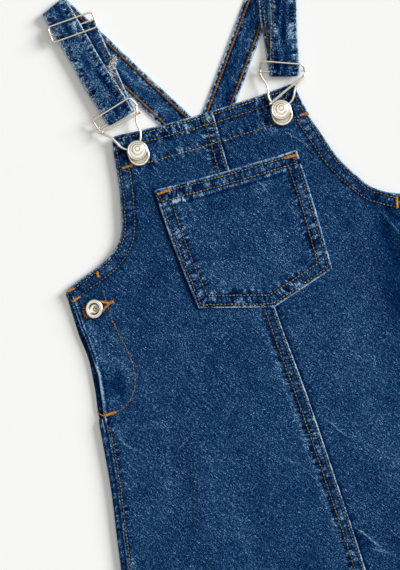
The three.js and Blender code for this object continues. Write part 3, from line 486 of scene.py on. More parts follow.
def denim(name, shade=0.0, seed=0.0, contrast=1.0):
    """Stonewashed twill: fine pale and dark flecks along the diagonal, soft clouds, the streaks that lie across a
    stitched edge, and the wear and painted shade that each mesh carries in its points."""
    m = Nodes(name)
    grain = m.attribute("grain").outputs["Vector"]
    wear_and_shade = m.attribute("wear_and_shade").outputs["Fac"]
    edge = m.attribute("edge").outputs["Vector"]
    band = m.attribute("band").outputs["Fac"]
    twill = math.radians(-57)
    fleck = m.noise(m.mapped(grain, (0.36, 0.70, 1.0), twill, (seed, seed * 0.7, 0)), 1.0, 3.0, 0.74)
    fine = m.noise(m.mapped(grain, (0.95, 1.6, 1.0), twill, (seed, 3, 0)), 1.0, 2.0, 0.65)
    streak = m.noise(m.mapped(grain, (0.075, 0.55, 1.0), twill, (seed, 31, 0)), 1.0, 2.0, 0.55)
    patch = m.noise(m.mapped(grain, (0.12, 0.09, 1.0), math.radians(30), (5, seed, 0)), 1.0, 3.0, 0.6)
    cloud = m.noise(m.mapped(grain, (0.024, 0.019, 1.0), 0.0, (seed, 9, 0)), 1.0, 2.0, 0.5)
    ladder = m.noise(m.mapped(edge, (0.30, 0.085, 1.0), math.radians(9), (seed, 5, 0)), 1.0, 3.0, 0.62, 0.3)
    rung = m.math("MULTIPLY", m.math("SUBTRACT", ladder, 0.5), band)

    def centred(value, amount, base):
        return m.math("MULTIPLY_ADD", m.math("SUBTRACT", value, 0.5), amount, base)
    v = centred(fleck, 1.62 * contrast, 0.485 + shade)
    v = centred(fine, 2.60 * contrast, v)
    v = centred(streak, 0.52, v)
    v = centred(patch, 0.24, v)
    v = centred(cloud, 0.14, v)
    v = m.math("MULTIPLY_ADD", rung, 5.8, v)
    v = m.math("MULTIPLY_ADD", wear_and_shade, m.math("MULTIPLY_ADD", fleck, 0.9, 0.6), v)
    ramp = m.add("ShaderNodeValToRGB")
    stops = ramp.color_ramp.elements
    stops[0].position, stops[0].color = DENIM_RAMP[0][0], linear(*DENIM_RAMP[0][1])
    stops[1].position, stops[1].color = DENIM_RAMP[-1][0], linear(*DENIM_RAMP[-1][1])
    for place, colour in DENIM_RAMP[1:-1]:
        stops.new(place).color = linear(*colour)
    m.link(v, ramp.inputs["Fac"])
    m.link(ramp.outputs["Color"], m.shader.inputs["Base Color"])
    wave = m.add("ShaderNodeTexWave", wave_type="BANDS", bands_direction="Y", wave_profile="SIN")
    wave.inputs["Scale"].default_value = 0.31
    wave.inputs["Distortion"].default_value = 1.2
    wave.inputs["Detail"].default_value = 1.0
    m.link(m.mapped(grain, (1, 1, 1), twill), wave.inputs["Vector"])
    height = m.math("MULTIPLY_ADD", wave.outputs["Fac"], 0.30, m.math("MULTIPLY", fleck, 1.0))
    height = m.math("MULTIPLY_ADD", rung, 2.6, height)
    bump = m.add("ShaderNodeBump")
    bump.inputs["Strength"].default_value = 0.75
    bump.inputs["Distance"].default_value = 0.0006
    m.link(height, bump.inputs["Height"])
    m.link(bump.outputs["Normal"], m.shader.inputs["Normal"])
    m.link(m.math("MULTIPLY_ADD", fleck, -0.10, 0.97), m.shader.inputs["Roughness"])
    m.shader.inputs["Specular IOR Level"].default_value = 0.02
    return m.material


def thread(name, dark, light, rough=0.62):
    m = Nodes(name)
    grain = m.attribute("grain").outputs["Vector"]
    shade = m.attribute("wear_and_shade").outputs["Fac"]
    n = m.noise(grain, 2.2, 2.0, 0.6)
    k = m.math("ADD", m.math("MULTIPLY", m.math("SUBTRACT", n, 0.5), 0.9), shade)
    ramp = m.add("ShaderNodeValToRGB")
    ramp.color_ramp.elements[0].color = linear(*dark)
    ramp.color_ramp.elements[1].color = linear(*light)
    m.link(k, ramp.inputs["Fac"])
    m.link(ramp.outputs["Color"], m.shader.inputs["Base Color"])
    wave = m.add("ShaderNodeTexWave", wave_type="BANDS", bands_direction="DIAGONAL")
    wave.inputs["Scale"].default_value = 1.1
    m.link(grain, wave.inputs["Vector"])
    bump = m.add("ShaderNodeBump")
    bump.inputs["Strength"].default_value = 0.4
    bump.inputs["Distance"].default_value = 0.0002
    m.link(wave.outputs["Fac"], bump.inputs["Height"])
    m.link(bump.outputs["Normal"], m.shader.inputs["Normal"])
    m.shader.inputs["Roughness"].default_value = rough
    m.shader.inputs["Specular IOR Level"].default_value = 0.3
    return m.material


def nickel(name, rough, rise, low, high):
    m = Nodes(name)
    spot = m.add("ShaderNodeTexCoord").outputs["Object"]
    n = m.noise(spot, 420.0, 3.0, 0.6)
    big = m.noise(spot, 90.0, 2.0, 0.5)
    ramp = m.add("ShaderNodeValToRGB")
    ramp.color_ramp.elements[0].color = linear(*low)
    ramp.color_ramp.elements[1].color = linear(*high)
    m.link(m.math("MULTIPLY_ADD", big, 0.8, m.math("MULTIPLY", n, 0.3)), ramp.inputs["Fac"])
    # Grime and painted shade, carried in the points, mix a dark brown into the base colour.
    grime_and_shade_fac = m.attribute("wear_and_shade").outputs["Fac"]
    grime_and_shade_mix = m.add("ShaderNodeMix", data_type="RGBA", blend_type="MIX")
    m.link(grime_and_shade_fac, grime_and_shade_mix.inputs["Factor"])
    m.link(ramp.outputs["Color"], grime_and_shade_mix.inputs[6])
    grime_and_shade_mix.inputs[7].default_value = linear(104, 92, 76)
    m.link(grime_and_shade_mix.outputs[2], m.shader.inputs["Base Color"])
    m.link(m.math("MULTIPLY_ADD", n, 0.16, rough), m.shader.inputs["Roughness"])
    m.shader.inputs["Metallic"].default_value = 1.0
    bump = m.add("ShaderNodeBump")
    bump.inputs["Strength"].default_value = rise
    bump.inputs["Distance"].default_value = 0.00012
    m.link(n, bump.inputs["Height"])
    m.link(bump.outputs["Normal"], m.shader.inputs["Normal"])
    return m.material


DENIM_FRONT = denim("denim_front", -0.070, 0.0)
DENIM_POCKET = denim("denim_pocket", -0.070, 41.0)
DENIM_BACK = denim("denim_back", -0.060, 17.0)
DENIM_STRAP = denim("denim_strap", 0.030, 63.0, 1.2)
DENIM_REVERSE = denim("denim_reverse", -0.005, 83.0, 0.95)
TAN = thread("thread_tan", (24, 30, 40), (144, 132, 100))
GOLD = thread("thread_gold", (34, 36, 38), (172, 152, 102))
OPENING = thread("thread_opening", (44, 36, 32), (178, 134, 84))
ORANGE = thread("thread_orange", (136, 80, 20), (228, 156, 52))
PALE = thread("thread_pale", (120, 126, 132), (214, 212, 204))
RUST = thread("thread_rust", (46, 30, 18), (142, 99, 50))
FRAY = thread("thread_fray", (140, 148, 160), (246, 246, 244), 0.8)
DARK = thread("thread_dark", (16, 22, 38), (92, 72, 54), 0.8)
NICKEL = nickel("nickel", 0.30, 0.16, (222, 212, 196), (252, 246, 234))
CAP_NICKEL = nickel("nickel_caps", 0.27, 0.30, (232, 224, 211), (254, 249, 240))

# ---- seams: what an edge does to the cloth near it ------------------------------------------------


def seam_effect(line, x, y, seed, hem=11.5, thick=0.5, pucker=0.22, rows=(3.0, 11.0), worn=0.42,
                ladder=0.5, slant=0.55, pitch=4.2, reach=6.0):
    """What a hemmed or felled edge adds: a thicker band, stitch troughs that are darker, partly as unworn dye and
    partly as painted shade, uneven cross puckers between the rows, a pale worn edge, painted shade in the step past the
    hem, and how strongly its cross streaks show."""
    d, s = near(line, x, y)
    band = 1 - smooth(hem - 0.8, hem + 1.6, d)
    q = s + slant * d
    p = 0.62 * noise1(q / pitch, seed) + 0.38 * noise1(q / (pitch * 0.6) + 7, seed + 1)
    p = p * (0.55 + 0.45 * noise1(s / 19.0, seed + 2))
    window = smooth(0.6, 2.4, d) * (1 - smooth(hem + 0.5, hem + reach, d))
    z = thick * band + pucker * p * window
    for r in rows:
        z = z - 0.30 * np.exp(-((d - r) / 0.75) ** 2)
    w = worn * np.exp(-(d / 1.5) ** 2) * (0.85 + 0.35 * noise1(s / 4.3, seed + 3) + 0.30 * noise1(s / 13.0, seed + 9))
    # Painted shade in the step just past the hem.
    w = w + 0.10 * p * window - 0.08 * np.exp(-((d - hem - 1.5) / 1.6) ** 2)
    # The stitch troughs are darker, partly as unworn dye and partly as painted shade.
    for r in rows:
        w = w - 0.42 * np.exp(-((d - r) / 1.15) ** 2)
    strength = ladder * window * (0.72 + 0.5 * noise1(s / 23.0, seed + 4))
    return z, w, d, s + 40.0 * seed, strength


def placket_effect(side, line, x, y, seed):
    """The side opening's edge: two pale folds 3 mm apart with painted shade in the groove between them, and one broad
    pale fold lower down with painted shade just inside it.
    """
    z, w, d, s, strength = seam_effect(line, x, y, seed, hem=3.4, thick=0.30, pucker=0.12, rows=(), worn=0.50, ladder=0.16)
    turn = 190 if side == "left" else 205
    low = smooth(turn - 8, turn + 4, BIB_LINE - y)
    near_edge = d < 8
    uneven = 0.85 + 0.4 * noise1(s / 5.0, seed + 5)
    two = 0.46 * np.exp(-((d - 3.3) / 0.75) ** 2) * uneven - 0.42 * np.exp(-((d - 1.75) / 0.75) ** 2)
    one = 0.44 * np.exp(-((d - 1.3) / 1.1) ** 2) * uneven - 0.22 * np.exp(-((d - 4.2) / 1.0) ** 2)
    w = w + np.where(near_edge, mix(two, one, low), 0)
    z = z + np.where(near_edge, mix(0.22 * np.exp(-((d - 3.3) / 0.8) ** 2) - 0.25 * np.exp(-((d - 1.75) / 0.7) ** 2),
                                    0.15 * np.exp(-((d - 1.3) / 1.2) ** 2), low), 0)
    return z, w, d, s, strength


def gather(effects, z, w):
    """Adds several edges' effects, and finds the streak coordinates of the nearest edge."""
    zs, ws, ds, ss, bs = (np.stack([np.broadcast_to(e[k], np.shape(z)) for e in effects]) for k in range(5))
    z = z + np.where(zs > 0, zs, 0).max(0) + np.where(zs < 0, zs, 0).min(0)
    w = w + np.where(ws > 0, ws, 0).max(0) + np.where(ws < 0, ws, 0).min(0)
    pick = bs.argmax(0)
    s = np.take_along_axis(ss, pick[None], 0)[0]
    d = np.take_along_axis(ds, pick[None], 0)[0]
    return z, w, ds.min(0), np.stack([s, d, np.zeros_like(s)], -1), bs.max(0)


# ---- front halves ----------------------------------------------------------------------------------
DOWN = np.concatenate([FINE, np.linspace(14.2, 545.8, 412)[1:-1], 560 - np.array(FINE)[::-1]])


def outline(side):
    """The edge lines of one front half, each from the top or the seam outwards."""
    edge = edge_left if side == "left" else edge_right
    inner = seam_x if side == "left" else (lambda d: seam_x(d) + 0.3)
    p = PLACKET[side]
    under = 119 if side == "left" else 134.5
    x = np.linspace(float(inner(0)), float(edge(0)), 70)
    top = np.stack([x, front_y(x, 0.0)], 1)

    def along(curve, a, b, n):
        d = np.linspace(a, b, n)
        return np.stack([curve(d), front_y(curve(d), d)], 1)
    xh = np.linspace(float(inner(LENGTH)), float(edge(LENGTH)), 80)
    return dict(
        top=line_of(top), arm=line_of(along(edge, 0.0, under, 220)),
        placket=line_of(along(edge, under, p["closed"] - 2, 60)),
        groove=line_of(along(edge, p["closed"] - 4, LENGTH, 120)),
        hem=line_of(np.stack([xh, front_y(xh, LENGTH)], 1)), lap=line_of(along(inner, 0.0, LENGTH, 200)))


OUTLINES = {s: outline(s) for s in ("left", "right")}


def front_surface(side, x, y):
    """Top height of a front half, its wear, distance to its border, and its streaks."""
    o = OUTLINES[side]
    base = 11 if side == "left" else 61
    down = BIB_LINE - y
    z = front_mid(x, y) + 0.42
    cz, cw = ridges(CREASES, x, down)
    mz, mw = marks(x, y)
    z = z + cz + mz
    w = cw + mw + 0.03 * noise2(x / 16, y / 16, base) - 0.03 * (1 - smooth(112, 150, down)) - 0.02 * smooth(330, 420, down)
    z = z + 0.16 * noise2(x / 21, y / 27, base + 1) + 0.06 * noise2(x / 6.5, y / 7.5, base + 2)
    effects = [
        seam_effect(o["top"], x, y, base + 3, hem=11.8, thick=0.45, pucker=0.32, rows=(3.4, 11.2), worn=0.62, ladder=0.80),
        seam_effect(o["arm"], x, y, base + 7, hem=12.2, thick=0.42, pucker=0.15, rows=(3.3, 11.7), worn=0.46, ladder=0.34),
        placket_effect(side, o["placket"], x, y, base + 11),
        seam_effect(o["groove"], x, y, base + 15, hem=4.5, thick=0.16, pucker=0.24, rows=(3.2,), worn=0.30, ladder=0.52),
        seam_effect(o["hem"], x, y, base + 19, hem=22.0, thick=0.45, pucker=0.24, rows=(3.0, 20.5), worn=0.46, ladder=0.46),
    ]
    if side == "left":
        lap = seam_effect(o["lap"], x, y, base + 23, hem=11.2, thick=0.80, pucker=0.26, rows=(2.8, 9.5), worn=0.54, ladder=0.54, reach=8.0)
        pale = 0.03 * np.exp(-((lap[2] - 15.2) / 3.2) ** 2) * (0.8 + 0.5 * noise1(lap[3] / 9, base + 29))
        effects.append((lap[0], lap[1] + pale, *lap[2:]))
    else:
        d, s = near(o["lap"], x, y)
        effects.append((-0.45 * np.exp(-(d / 2.4) ** 2), -0.30 * np.exp(-(d / 1.9) ** 2), d, s, 0.20 * np.exp(-((d - 4) / 3.0) ** 2)))
    z, w, border, edge, band = gather(effects, z, w)
    # Painted shadow: the cloth is darker in the step beside the pocket's left side.
    w = w - 0.40 * np.exp(-(near(POCKET_LINES["left"], x, y)[0] / 2.4) ** 2)
    # The facing's lower row, with its trough darker partly as unworn dye and partly as painted shade, and the puckers
    # that it pulls across the bib.
    fy = BIB_LINE - 26.6 + 0.0002 * (x + 13) ** 2
    across = smooth(-103, -99, x) * (1 - smooth(72, 77, x))
    z = z - 0.24 * np.exp(-((y - fy) / 0.9) ** 2) * across + 0.12 * np.exp(-((y - fy) / 4.0) ** 2) * across * noise1((x + 0.5 * y) / 4.2, base + 27)
    w = w - 0.16 * np.exp(-((y - fy) / 0.9) ** 2) * across
    more = 0.50 * np.exp(-((y - fy - 1.0) / 6.5) ** 2) * across
    swap = more > band
    edge = np.where(swap[..., None], np.stack([x + 500.0, y - fy + 20.0, np.zeros_like(x)], -1), edge)
    return z, w, border, edge, np.maximum(band, more)


def front_half(side):
    edge = edge_left if side == "left" else edge_right
    inner = seam_x if side == "left" else (lambda d: seam_x(d) + 0.3)
    sign = -1 if side == "left" else 1
    xs = []
    for d in DOWN:
        a, b = float(inner(d)), float(edge(d))
        cols = spread(abs(b - a), 140)
        xs.append(a + sign * cols)
    x = np.array(xs)
    down = np.repeat(DOWN[:, None], x.shape[1], 1)
    y = front_y(x, down)
    z, w, border, edge_at, band = front_surface(side, x, y)
    low = front_mid(x, y) - 0.72
    mid = 0.5 * (z + low)
    round_ = np.sqrt(np.clip(1 - (1 - np.clip(border / 1.15, 0, 1)) ** 2, 0, 1))
    top = np.stack([x, y, mid + (z - mid) * round_], -1)
    bottom = np.stack([x, y, mid - (mid - low) * round_], -1)
    grain = np.stack([x * (1 if side == "left" else 1), y, np.zeros_like(x)], -1)
    # The front's eyelets lie under the caps of the side buttons, so the cloth is left whole there and dimpled round
    # each shank, and a disc round each is painted darker as the cap's shadow.
    bx, bd = PLACKET[side]["button"]
    r = np.hypot(x - bx, y - (BIB_LINE - bd))
    top[..., 2] -= 0.9 * np.exp(-(r / 6.0) ** 4)
    w = w - 0.22 * np.exp(-(r / 10.5) ** 6)
    piece = shell(f"Front_{side}", top, bottom, DENIM_FRONT, dict(grain=grain, wear_and_shade=w, edge=edge_at, band=band))
    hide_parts(f"front_{side}")
    return piece


# ---- back ------------------------------------------------------------------------------------------


def back_panel():
    r = (FRONT_Z - BACK_Z) / 2
    downs = np.concatenate([np.array(FINE), np.linspace(14.2, 545.8, 330)[1:-1], 560 - np.array(FINE)[::-1]])
    arc = np.radians(np.linspace(-90, 90, 11))[1:]
    lip = np.array([0.18, 0.36, 0.54, 0.70, 0.83, 0.93, 1.0])
    rows_mid, rows_nrm, flat_s = [], [], []
    for d in downs:
        kl = float(smooth(PLACKET["left"]["end"] + 2, PLACKET["left"]["closed"], d))
        kr = float(smooth(PLACKET["right"]["end"] + 2, PLACKET["right"]["closed"], d))
        xl, xr = float(back_left(d)) + 0.75 + r, float(back_right(d)) - 0.75 - r

        def wrap(x0, seam, sign, k):
            n = len(arc) + len(lip)
            flat = np.stack([x0 + sign * r * (np.arange(1, n + 1) / n), np.full(n, BACK_Z)], 1)
            ax, az = x0 + sign * r * np.cos(arc), BACK_Z + r + r * np.sin(arc)
            end = seam + sign * (0.3 + 0.9 * (1 - k))
            lx, lz = mix(x0, end, lip), np.full(len(lip), FRONT_Z)
            wrapped = np.stack([np.concatenate([ax, lx]), np.concatenate([az, lz])], 1)
            return mix(flat, wrapped, k)
        a = wrap(xl, float(edge_left(d)), -1, kl)[::-1]
        b = wrap(xr, float(edge_right(d)), 1, kr)
        m = spread(xr - xl, 100)
        row = np.concatenate([a, np.stack([xl + m, np.full(len(m), BACK_Z)], 1), b])
        rows_mid.append(row)
    g = np.array(rows_mid)
    x, z = g[..., 0], g[..., 1]
    down = np.repeat(downs[:, None], x.shape[1], 1)
    y = back_y(x, down)
    mid = np.stack([x, y, z], -1)
    dr = np.gradient(mid, axis=0)
    dc = np.gradient(mid, axis=1)
    n = np.cross(dr, dc)
    n /= np.linalg.norm(n, axis=-1)[..., None] + 1e-12
    # Outer side: the underside, then the round of the fold, then the strip that shows in front.
    arclen = np.concatenate([np.zeros((len(downs), 1)), np.cumsum(np.linalg.norm(np.diff(mid, axis=1), axis=-1), 1)], 1)
    left_d, right_d = arclen, arclen[:, -1:] - arclen
    top_line = line_of(np.stack([x[0], y[0]], 1))
    hem_line = line_of(np.stack([x[-1], y[-1]], 1))
    above = down < 119
    dt, st = near(top_line, x, y)
    dh, sh = near(hem_line, x, y)
    # Armhole edges of the back, from the roof to each underarm.
    da = np.linspace(0, 119, 90)
    arm_l = line_of(np.stack([back_left(da), back_y(back_left(da), da)], 1))
    da = np.linspace(0, 135, 100)
    arm_r = line_of(np.stack([back_right(da), back_y(back_right(da), da)], 1))
    d_al, s_al = near(arm_l, x, y)
    d_ar, s_ar = near(arm_r, x, y)
    inside = (z < 2.0)
    h, w = np.zeros_like(x), np.zeros_like(x)
    band, edge_at = np.zeros_like(x), np.zeros(x.shape + (3,))

    def streaks(strength, s, d, seed):
        nonlocal band, edge_at
        swap = strength > band
        edge_at = np.where(swap[..., None], np.stack([s + 40.0 * seed, d, np.zeros_like(d)], -1), edge_at)
        band = np.maximum(band, strength)
    for dist, s, seed, hem in ((dt, st, 201, 11), (d_al, s_al, 211, 11), (d_ar, s_ar, 221, 11), (dh, sh, 231, 21)):
        q = s + 0.5 * dist
        p = 0.6 * noise1(q / 4.2, seed) + 0.4 * noise1(q / 2.4, seed + 1)
        window = smooth(0.6, 2.4, dist) * (1 - smooth(hem + 1, hem + 6, dist)) * inside
        h = np.maximum(h, np.where(inside, 0.18 * (0.5 + 0.5 * p) * window, 0))
        w = w + np.where(inside, 0.40 * np.exp(-(dist / 1.5) ** 2), 0)
        streaks(0.46 * window, s, dist, seed)
    # Broad shallow hollows on the underside, similar to the front's, and small creases.
    cz, cw = ridges([dict(f, x=-f["x"] * 0.92, turn=-f["turn"]) for f in CREASES if f["long"] > 12], x, down)
    h = h + np.where(inside, np.abs(cz) * 0.55, 0)
    w = w + np.where(inside, cw * 0.9, 0)
    for k in range(16):
        rng = np.random.RandomState(900 + k)
        cx, cd, turn = rng.uniform(-150, 150), rng.uniform(150, 540), math.radians(rng.uniform(-60, -25))
        u = (x - cx) * math.cos(turn) + (BIB_LINE - cd - y) * -math.sin(turn)
        v = -(x - cx) * math.sin(turn) + (BIB_LINE - cd - y) * -math.cos(turn)
        g = np.exp(-(v / 0.9) ** 2 - (u / rng.uniform(9, 20)) ** 4) * inside
        h, w = h + 0.16 * g, w + rng.uniform(0.12, 0.26) * g
    # The round of the side fold is worn, and the strip in front puckers along its seam; the gap where the strip meets
    # the front's edge, and the round where it turns under, are painted darker as shade. Above it the back lies in the
    # shade of the front, painted darker, and near-black at its outer edge along the middle of the opening.
    for dist, x_edge, seed, lo, hi in ((left_d, edge_left(down), 241, 236, 246), (right_d, edge_right(down), 251, 251, 260)):
        k = smooth(lo, hi, down)
        s = down
        w = w + k * (-0.34 * np.exp(-((dist - 0.4) / 1.1) ** 2) + 0.24 * np.exp(-((dist - 8.2) / 1.6) ** 2) * (0.8 + 0.5 * noise1(s / 6, seed + 2)))
        w = w + k * (-0.08 * np.exp(-((dist - 5.0) / 2.6) ** 2))
        streaks(0.30 * k * np.exp(-((dist - 3.2) / 3.0) ** 2), s, dist, seed)
        shade = (1 - k) * (~above) * (1 - smooth(5, 14, dist))
        t0 = 0 if seed == 241 else 14
        deep_shadow = smooth(148 + t0, 160 + t0, down) * (1 - smooth(196 + t0, 206 + t0, down))
        lower_part = smooth(196 + t0, 206 + t0, down)
        w = w - shade * (0.05 + 0.12 * lower_part + deep_shadow * (0.16 + 0.62 * np.exp(-(dist / (1.8 + 0.8 * noise1(s / 3.0, seed + 6))) ** 2)))
        w = w + (1 - k) * (1 - deep_shadow) * (1 - lower_part) * 0.30 * np.exp(-(dist / 1.3) ** 2) * (0.7 + 0.6 * noise1(s / 5, seed + 3))
        w = w + 0.07 * k * np.exp(-((dist - 4.0) / 4.0) ** 4) - 0.20 * k * np.exp(-((dist - 10.6) / 0.9) ** 2)
    border = np.minimum(np.minimum(left_d, right_d), np.minimum(dt, dh))
    border = np.where(z > 2.0, np.minimum(left_d, right_d), border)
    round_ = np.sqrt(np.clip(1 - (1 - np.clip(border / 0.9, 0, 1)) ** 2, 0, 1))
    upper = mid + n * (0.62 * round_)[..., None]
    lower = mid - n * ((0.75 * round_ - h))[..., None]
    lower[..., 2] = np.maximum(lower[..., 2], 0.0)
    # The border is shared, so it keeps the wall's middle.
    lower[0], lower[-1], lower[:, 0], lower[:, -1] = mid[0], mid[-1], mid[:, 0], mid[:, -1]
    grain = np.stack([arclen - arclen[:, [arclen.shape[1] // 2]], y, np.zeros_like(x)], -1)
    piece = shell("Back", lower, upper, DENIM_BACK, dict(grain=grain, wear_and_shade=w, edge=edge_at, band=band))
    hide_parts("back")
    return piece


def underlap(side):
    p = PLACKET[side]
    outer = back_left if side == "left" else back_right
    sign = 1 if side == "left" else -1
    rows = np.concatenate([np.array(FINE[:8]), np.linspace(5.8, p["end"] - p["start"] - 5.8, 54)[1:-1],
                           (p["end"] - p["start"]) - np.array(FINE[:8])[::-1]]) + p["start"]
    cols = np.concatenate([np.array(FINE[:10]), np.linspace(8.4, 31.6 - 3.5, 10)[1:-1], 31.6 - np.array(FINE[:6])[::-1]])
    down, c = np.meshgrid(rows, cols, indexing="ij")
    x = outer(down) + sign * (1.4 + c)
    y = BIB_LINE - down
    border = np.minimum(np.minimum(c, 31.6 - c), np.minimum(down - p["start"], p["end"] - down))
    round_ = np.sqrt(np.clip(1 - (1 - np.clip(border / 0.8, 0, 1)) ** 2, 0, 1))
    seed = 301 if side == "left" else 311
    ripple = 0.10 * noise1((down + 0.4 * c) / 4.0, seed)
    z = np.full_like(x, UNDERLAP_Z) + 0.10 * noise1(down / 22.0, seed + 1)
    top = np.stack([x, y, z + (0.72 + ripple) * round_], -1)
    bottom = np.stack([x, y, z - 0.68 * round_], -1)
    # Painted shade: the underlap is darker where it lies under the front, the more so further down, and its outer edge
    # is worn pale.
    w = -0.20 * smooth(16, 36, down - p["start"]) - 0.06 + 0.10 * np.exp(-(c / 1.0) ** 2) * (0.8 + 0.4 * noise1(down / 4.0, seed + 2))
    edge_at = np.stack([down + 40.0 * seed, c, np.zeros_like(c)], -1)
    band = 0.26 * (1 - smooth(6, 12, c))
    piece = shell(f"Underlap_{side}", top, bottom, DENIM_BACK, dict(grain=np.stack([x, y, z], -1), wear_and_shade=w, edge=edge_at, band=band), sparse=False)
    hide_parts(f"underlap_{side}")
    return piece


# ---- pocket ----------------------------------------------------------------------------------------
POCKET = dict(tl=(-82.4, 51.8), tr=(53.8, 54.5), ll=(-75.0, 167.6), lr=(53.1, 168.8), point=(-8.3, 187.1))


def pocket_xy(t, k):
    q = POCKET
    peak = (q["point"][0] - q["ll"][0]) / (q["lr"][0] - q["ll"][0])
    low = np.where(k < peak, mix(q["ll"][1], q["point"][1], k / peak), mix(q["point"][1], q["lr"][1], (k - peak) / (1 - peak)))
    x = mix(mix(q["tl"][0], q["tr"][0], k), mix(q["ll"][0], q["lr"][0], k), t)
    # A pocket's mouth sags a little between its corners and its sides are not ruled straight.
    x = x + np.where(k < 0.5, -1.5, 1.0) * np.sin(math.pi * t) * np.abs(1 - 2 * k)
    y = BIB_LINE - mix(mix(q["tl"][1], q["tr"][1], k) + 1.0 * np.sin(math.pi * k), low, t)
    return x, y


_k = np.linspace(0, 1, 90)
_t = np.linspace(0, 1, 80)
POCKET_LINES = dict(
    mouth=line_of(np.stack(pocket_xy(np.zeros_like(_k), _k), 1)),
    left=line_of(np.stack(pocket_xy(_t, np.zeros_like(_t)), 1)),
    right=line_of(np.stack(pocket_xy(_t, np.ones_like(_t)), 1)),
    low=line_of(np.stack(pocket_xy(np.ones_like(_k), _k), 1), 1.6))
POCKET_SIDES = np.concatenate([POCKET_LINES["left"], POCKET_LINES["low"][1:-1], POCKET_LINES["right"][::-1]])


def pocket_surface(x, y):
    z = front_mid(x, y) + 0.75 + 0.3 + 0.98
    z = z + 0.14 * noise2(x / 18, y / 20, 401) + 0.06 * noise2(x / 6, y / 6, 402)
    mz, mw = pocket_marks(x, y)
    mouth = seam_effect(POCKET_LINES["mouth"], x, y, 411, hem=14.6, thick=0.42, pucker=0.28, rows=(3.8, 11.7), worn=0.66, ladder=0.85, slant=0.3, reach=5.0)
    rest = seam_effect(POCKET_SIDES, x, y, 421, hem=12.2, thick=0.40, pucker=0.34, rows=(3.4, 11.5), worn=0.62, ladder=0.66, reach=10.0)
    z, w, border, edge, band = gather([mouth, rest], z + mz, mw)
    # The hem's fold edge: pale on the turn, then painted shade in the step below it.
    d = mouth[2]
    w = w + 0.38 * np.exp(-((d - 14.9) / 1.1) ** 2) * (0.8 + 0.5 * noise1(mouth[3] / 5, 431)) - 0.17 * np.exp(-((d - 17.6) / 1.3) ** 2)
    w = w + 0.05 * noise2(x / 14, y / 14, 403)
    return z, w, border, edge, band


def pocket_patch():
    f = np.array(FINE)
    t = np.concatenate([f / 116.0, np.linspace(f[-1] / 116, 1 - f[-1] / 116, 88)[1:-1], 1 - (f / 116.0)[::-1]])
    k = np.concatenate([f / 132.0, np.linspace(f[-1] / 132, 1 - f[-1] / 132, 104)[1:-1], 1 - (f / 132.0)[::-1]])
    tt, kk = np.meshgrid(t, k, indexing="ij")
    x, y = pocket_xy(tt, kk)
    z, w, border, edge_at, band = pocket_surface(x, y)
    low = front_mid(x, y) + 0.75 + 0.25
    mid = mix(low, z, 0.5)
    round_ = np.sqrt(np.clip(1 - (1 - np.clip(border / 1.1, 0, 1)) ** 2, 0, 1))
    top = np.stack([x, y, mid + (z - mid) * round_], -1)
    bottom = np.stack([x, y, mid - (mid - low) * round_], -1)
    piece = shell("Pocket", top, bottom, DENIM_POCKET, dict(grain=np.stack([x, y, np.zeros_like(x)], -1), wear_and_shade=w, edge=edge_at, band=band))
    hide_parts("pocket")
    return piece


# ---- straps ----------------------------------------------------------------------------------------
STRAP_WIDE, STRAP_WALL, WIRE, GAP = 26.0, 1.6, 0.7, 0.3
UNDER_Z, WEAVE_Z = 2.7, 4.6
LOOP = WIRE + GAP + STRAP_WALL / 2
WEAVE = LOOP + 0.3
BAR_Z = UNDER_Z + LOOP
PITCH = 7.5
STRAPS = dict(
    left=dict(bar=(-93.4, 22.2), shoulder=(-121.2, 137.3), start=(-36.5, -10.1), drift=0.12,
              drift0=2.5, slider=(-110.2, 113.4), turn=2.7, slack=0.2, raw=40.5, slant=0.9, out=1),
    right=dict(bar=(63.6, 18.2), shoulder=(96.2, 132.6), start=(-14.4, -11.4), drift=-0.13,
               drift0=-0.6, slider=(85.6, 111.6), turn=-9.0, slack=2.4, raw=38.0, slant=0.2, out=-1))
SWAY = dict(   # how the front stretch wanders and turns a little: its shift and its width
    left=[dict(down=a, shift=b, scale=c) for a, b, c in (
        (-8, 0.4, 1.04), (12, 0.6, 1.05), (40, -0.3, 1.04), (60, -0.2, 0.98), (82, 0, 1), (125, 0, 1))],
    right=[dict(down=a, shift=b, scale=c) for a, b, c in (
        (-8, 1.4, 1.04), (12, 1.1, 1.03), (30, 0.8, 0.98), (48, 1.0, 0.94), (82, 0, 1), (125, 0, 1))])
RAW_WALL = 1.2
FREE_END = 89.0
STRAP_LEVELS = [dict(down=a, z=z) for a, z in (
    (0, BAR_Z + LOOP), (6, BAR_Z + LOOP), (20, 5.6), (40, 4.9), (76, 4.7), (104, 4.7), (110, 5.2), (125, 5.9))]
strap_level = track(STRAP_LEVELS, "z")
TOP_END = 5.9
BACK_STRAP_Z = STRAP_WALL / 2
FOLD_R = (TOP_END - BACK_STRAP_Z) / 2


def unit(v):
    v = np.asarray(v, float)
    return v / np.linalg.norm(v)


def strap_frame(side):
    s = STRAPS[side]
    bar, shoulder, start = (np.array(s[k], float) for k in ("bar", "shoulder", "start"))
    up, back_up = unit(shoulder - bar), unit(shoulder - start)
    right, back_right_ = np.array([up[1], -up[0]]), np.array([back_up[1], -back_up[0]])
    crease = unit(back_up - up)
    if crease @ right < 0:
        crease = -crease
    outward = np.array([-crease[1], crease[0]])
    if outward @ up < 0:
        outward = -outward
    return dict(bar=bar, shoulder=shoulder, start=start, up=up, reach=np.linalg.norm(shoulder - bar),
                back_up=back_up, back_reach=np.linalg.norm(shoulder - start), right=right,
                back_right=back_right_, crease=crease, outward=outward)


VS = np.concatenate([[-13, -12.75, -12.3, -11.6, -10.8, -10.0, -9.0], np.linspace(-7.8, 7.8, 13), [9.0, 10.0, 10.8, 11.6, 12.3, 12.75, 13]])


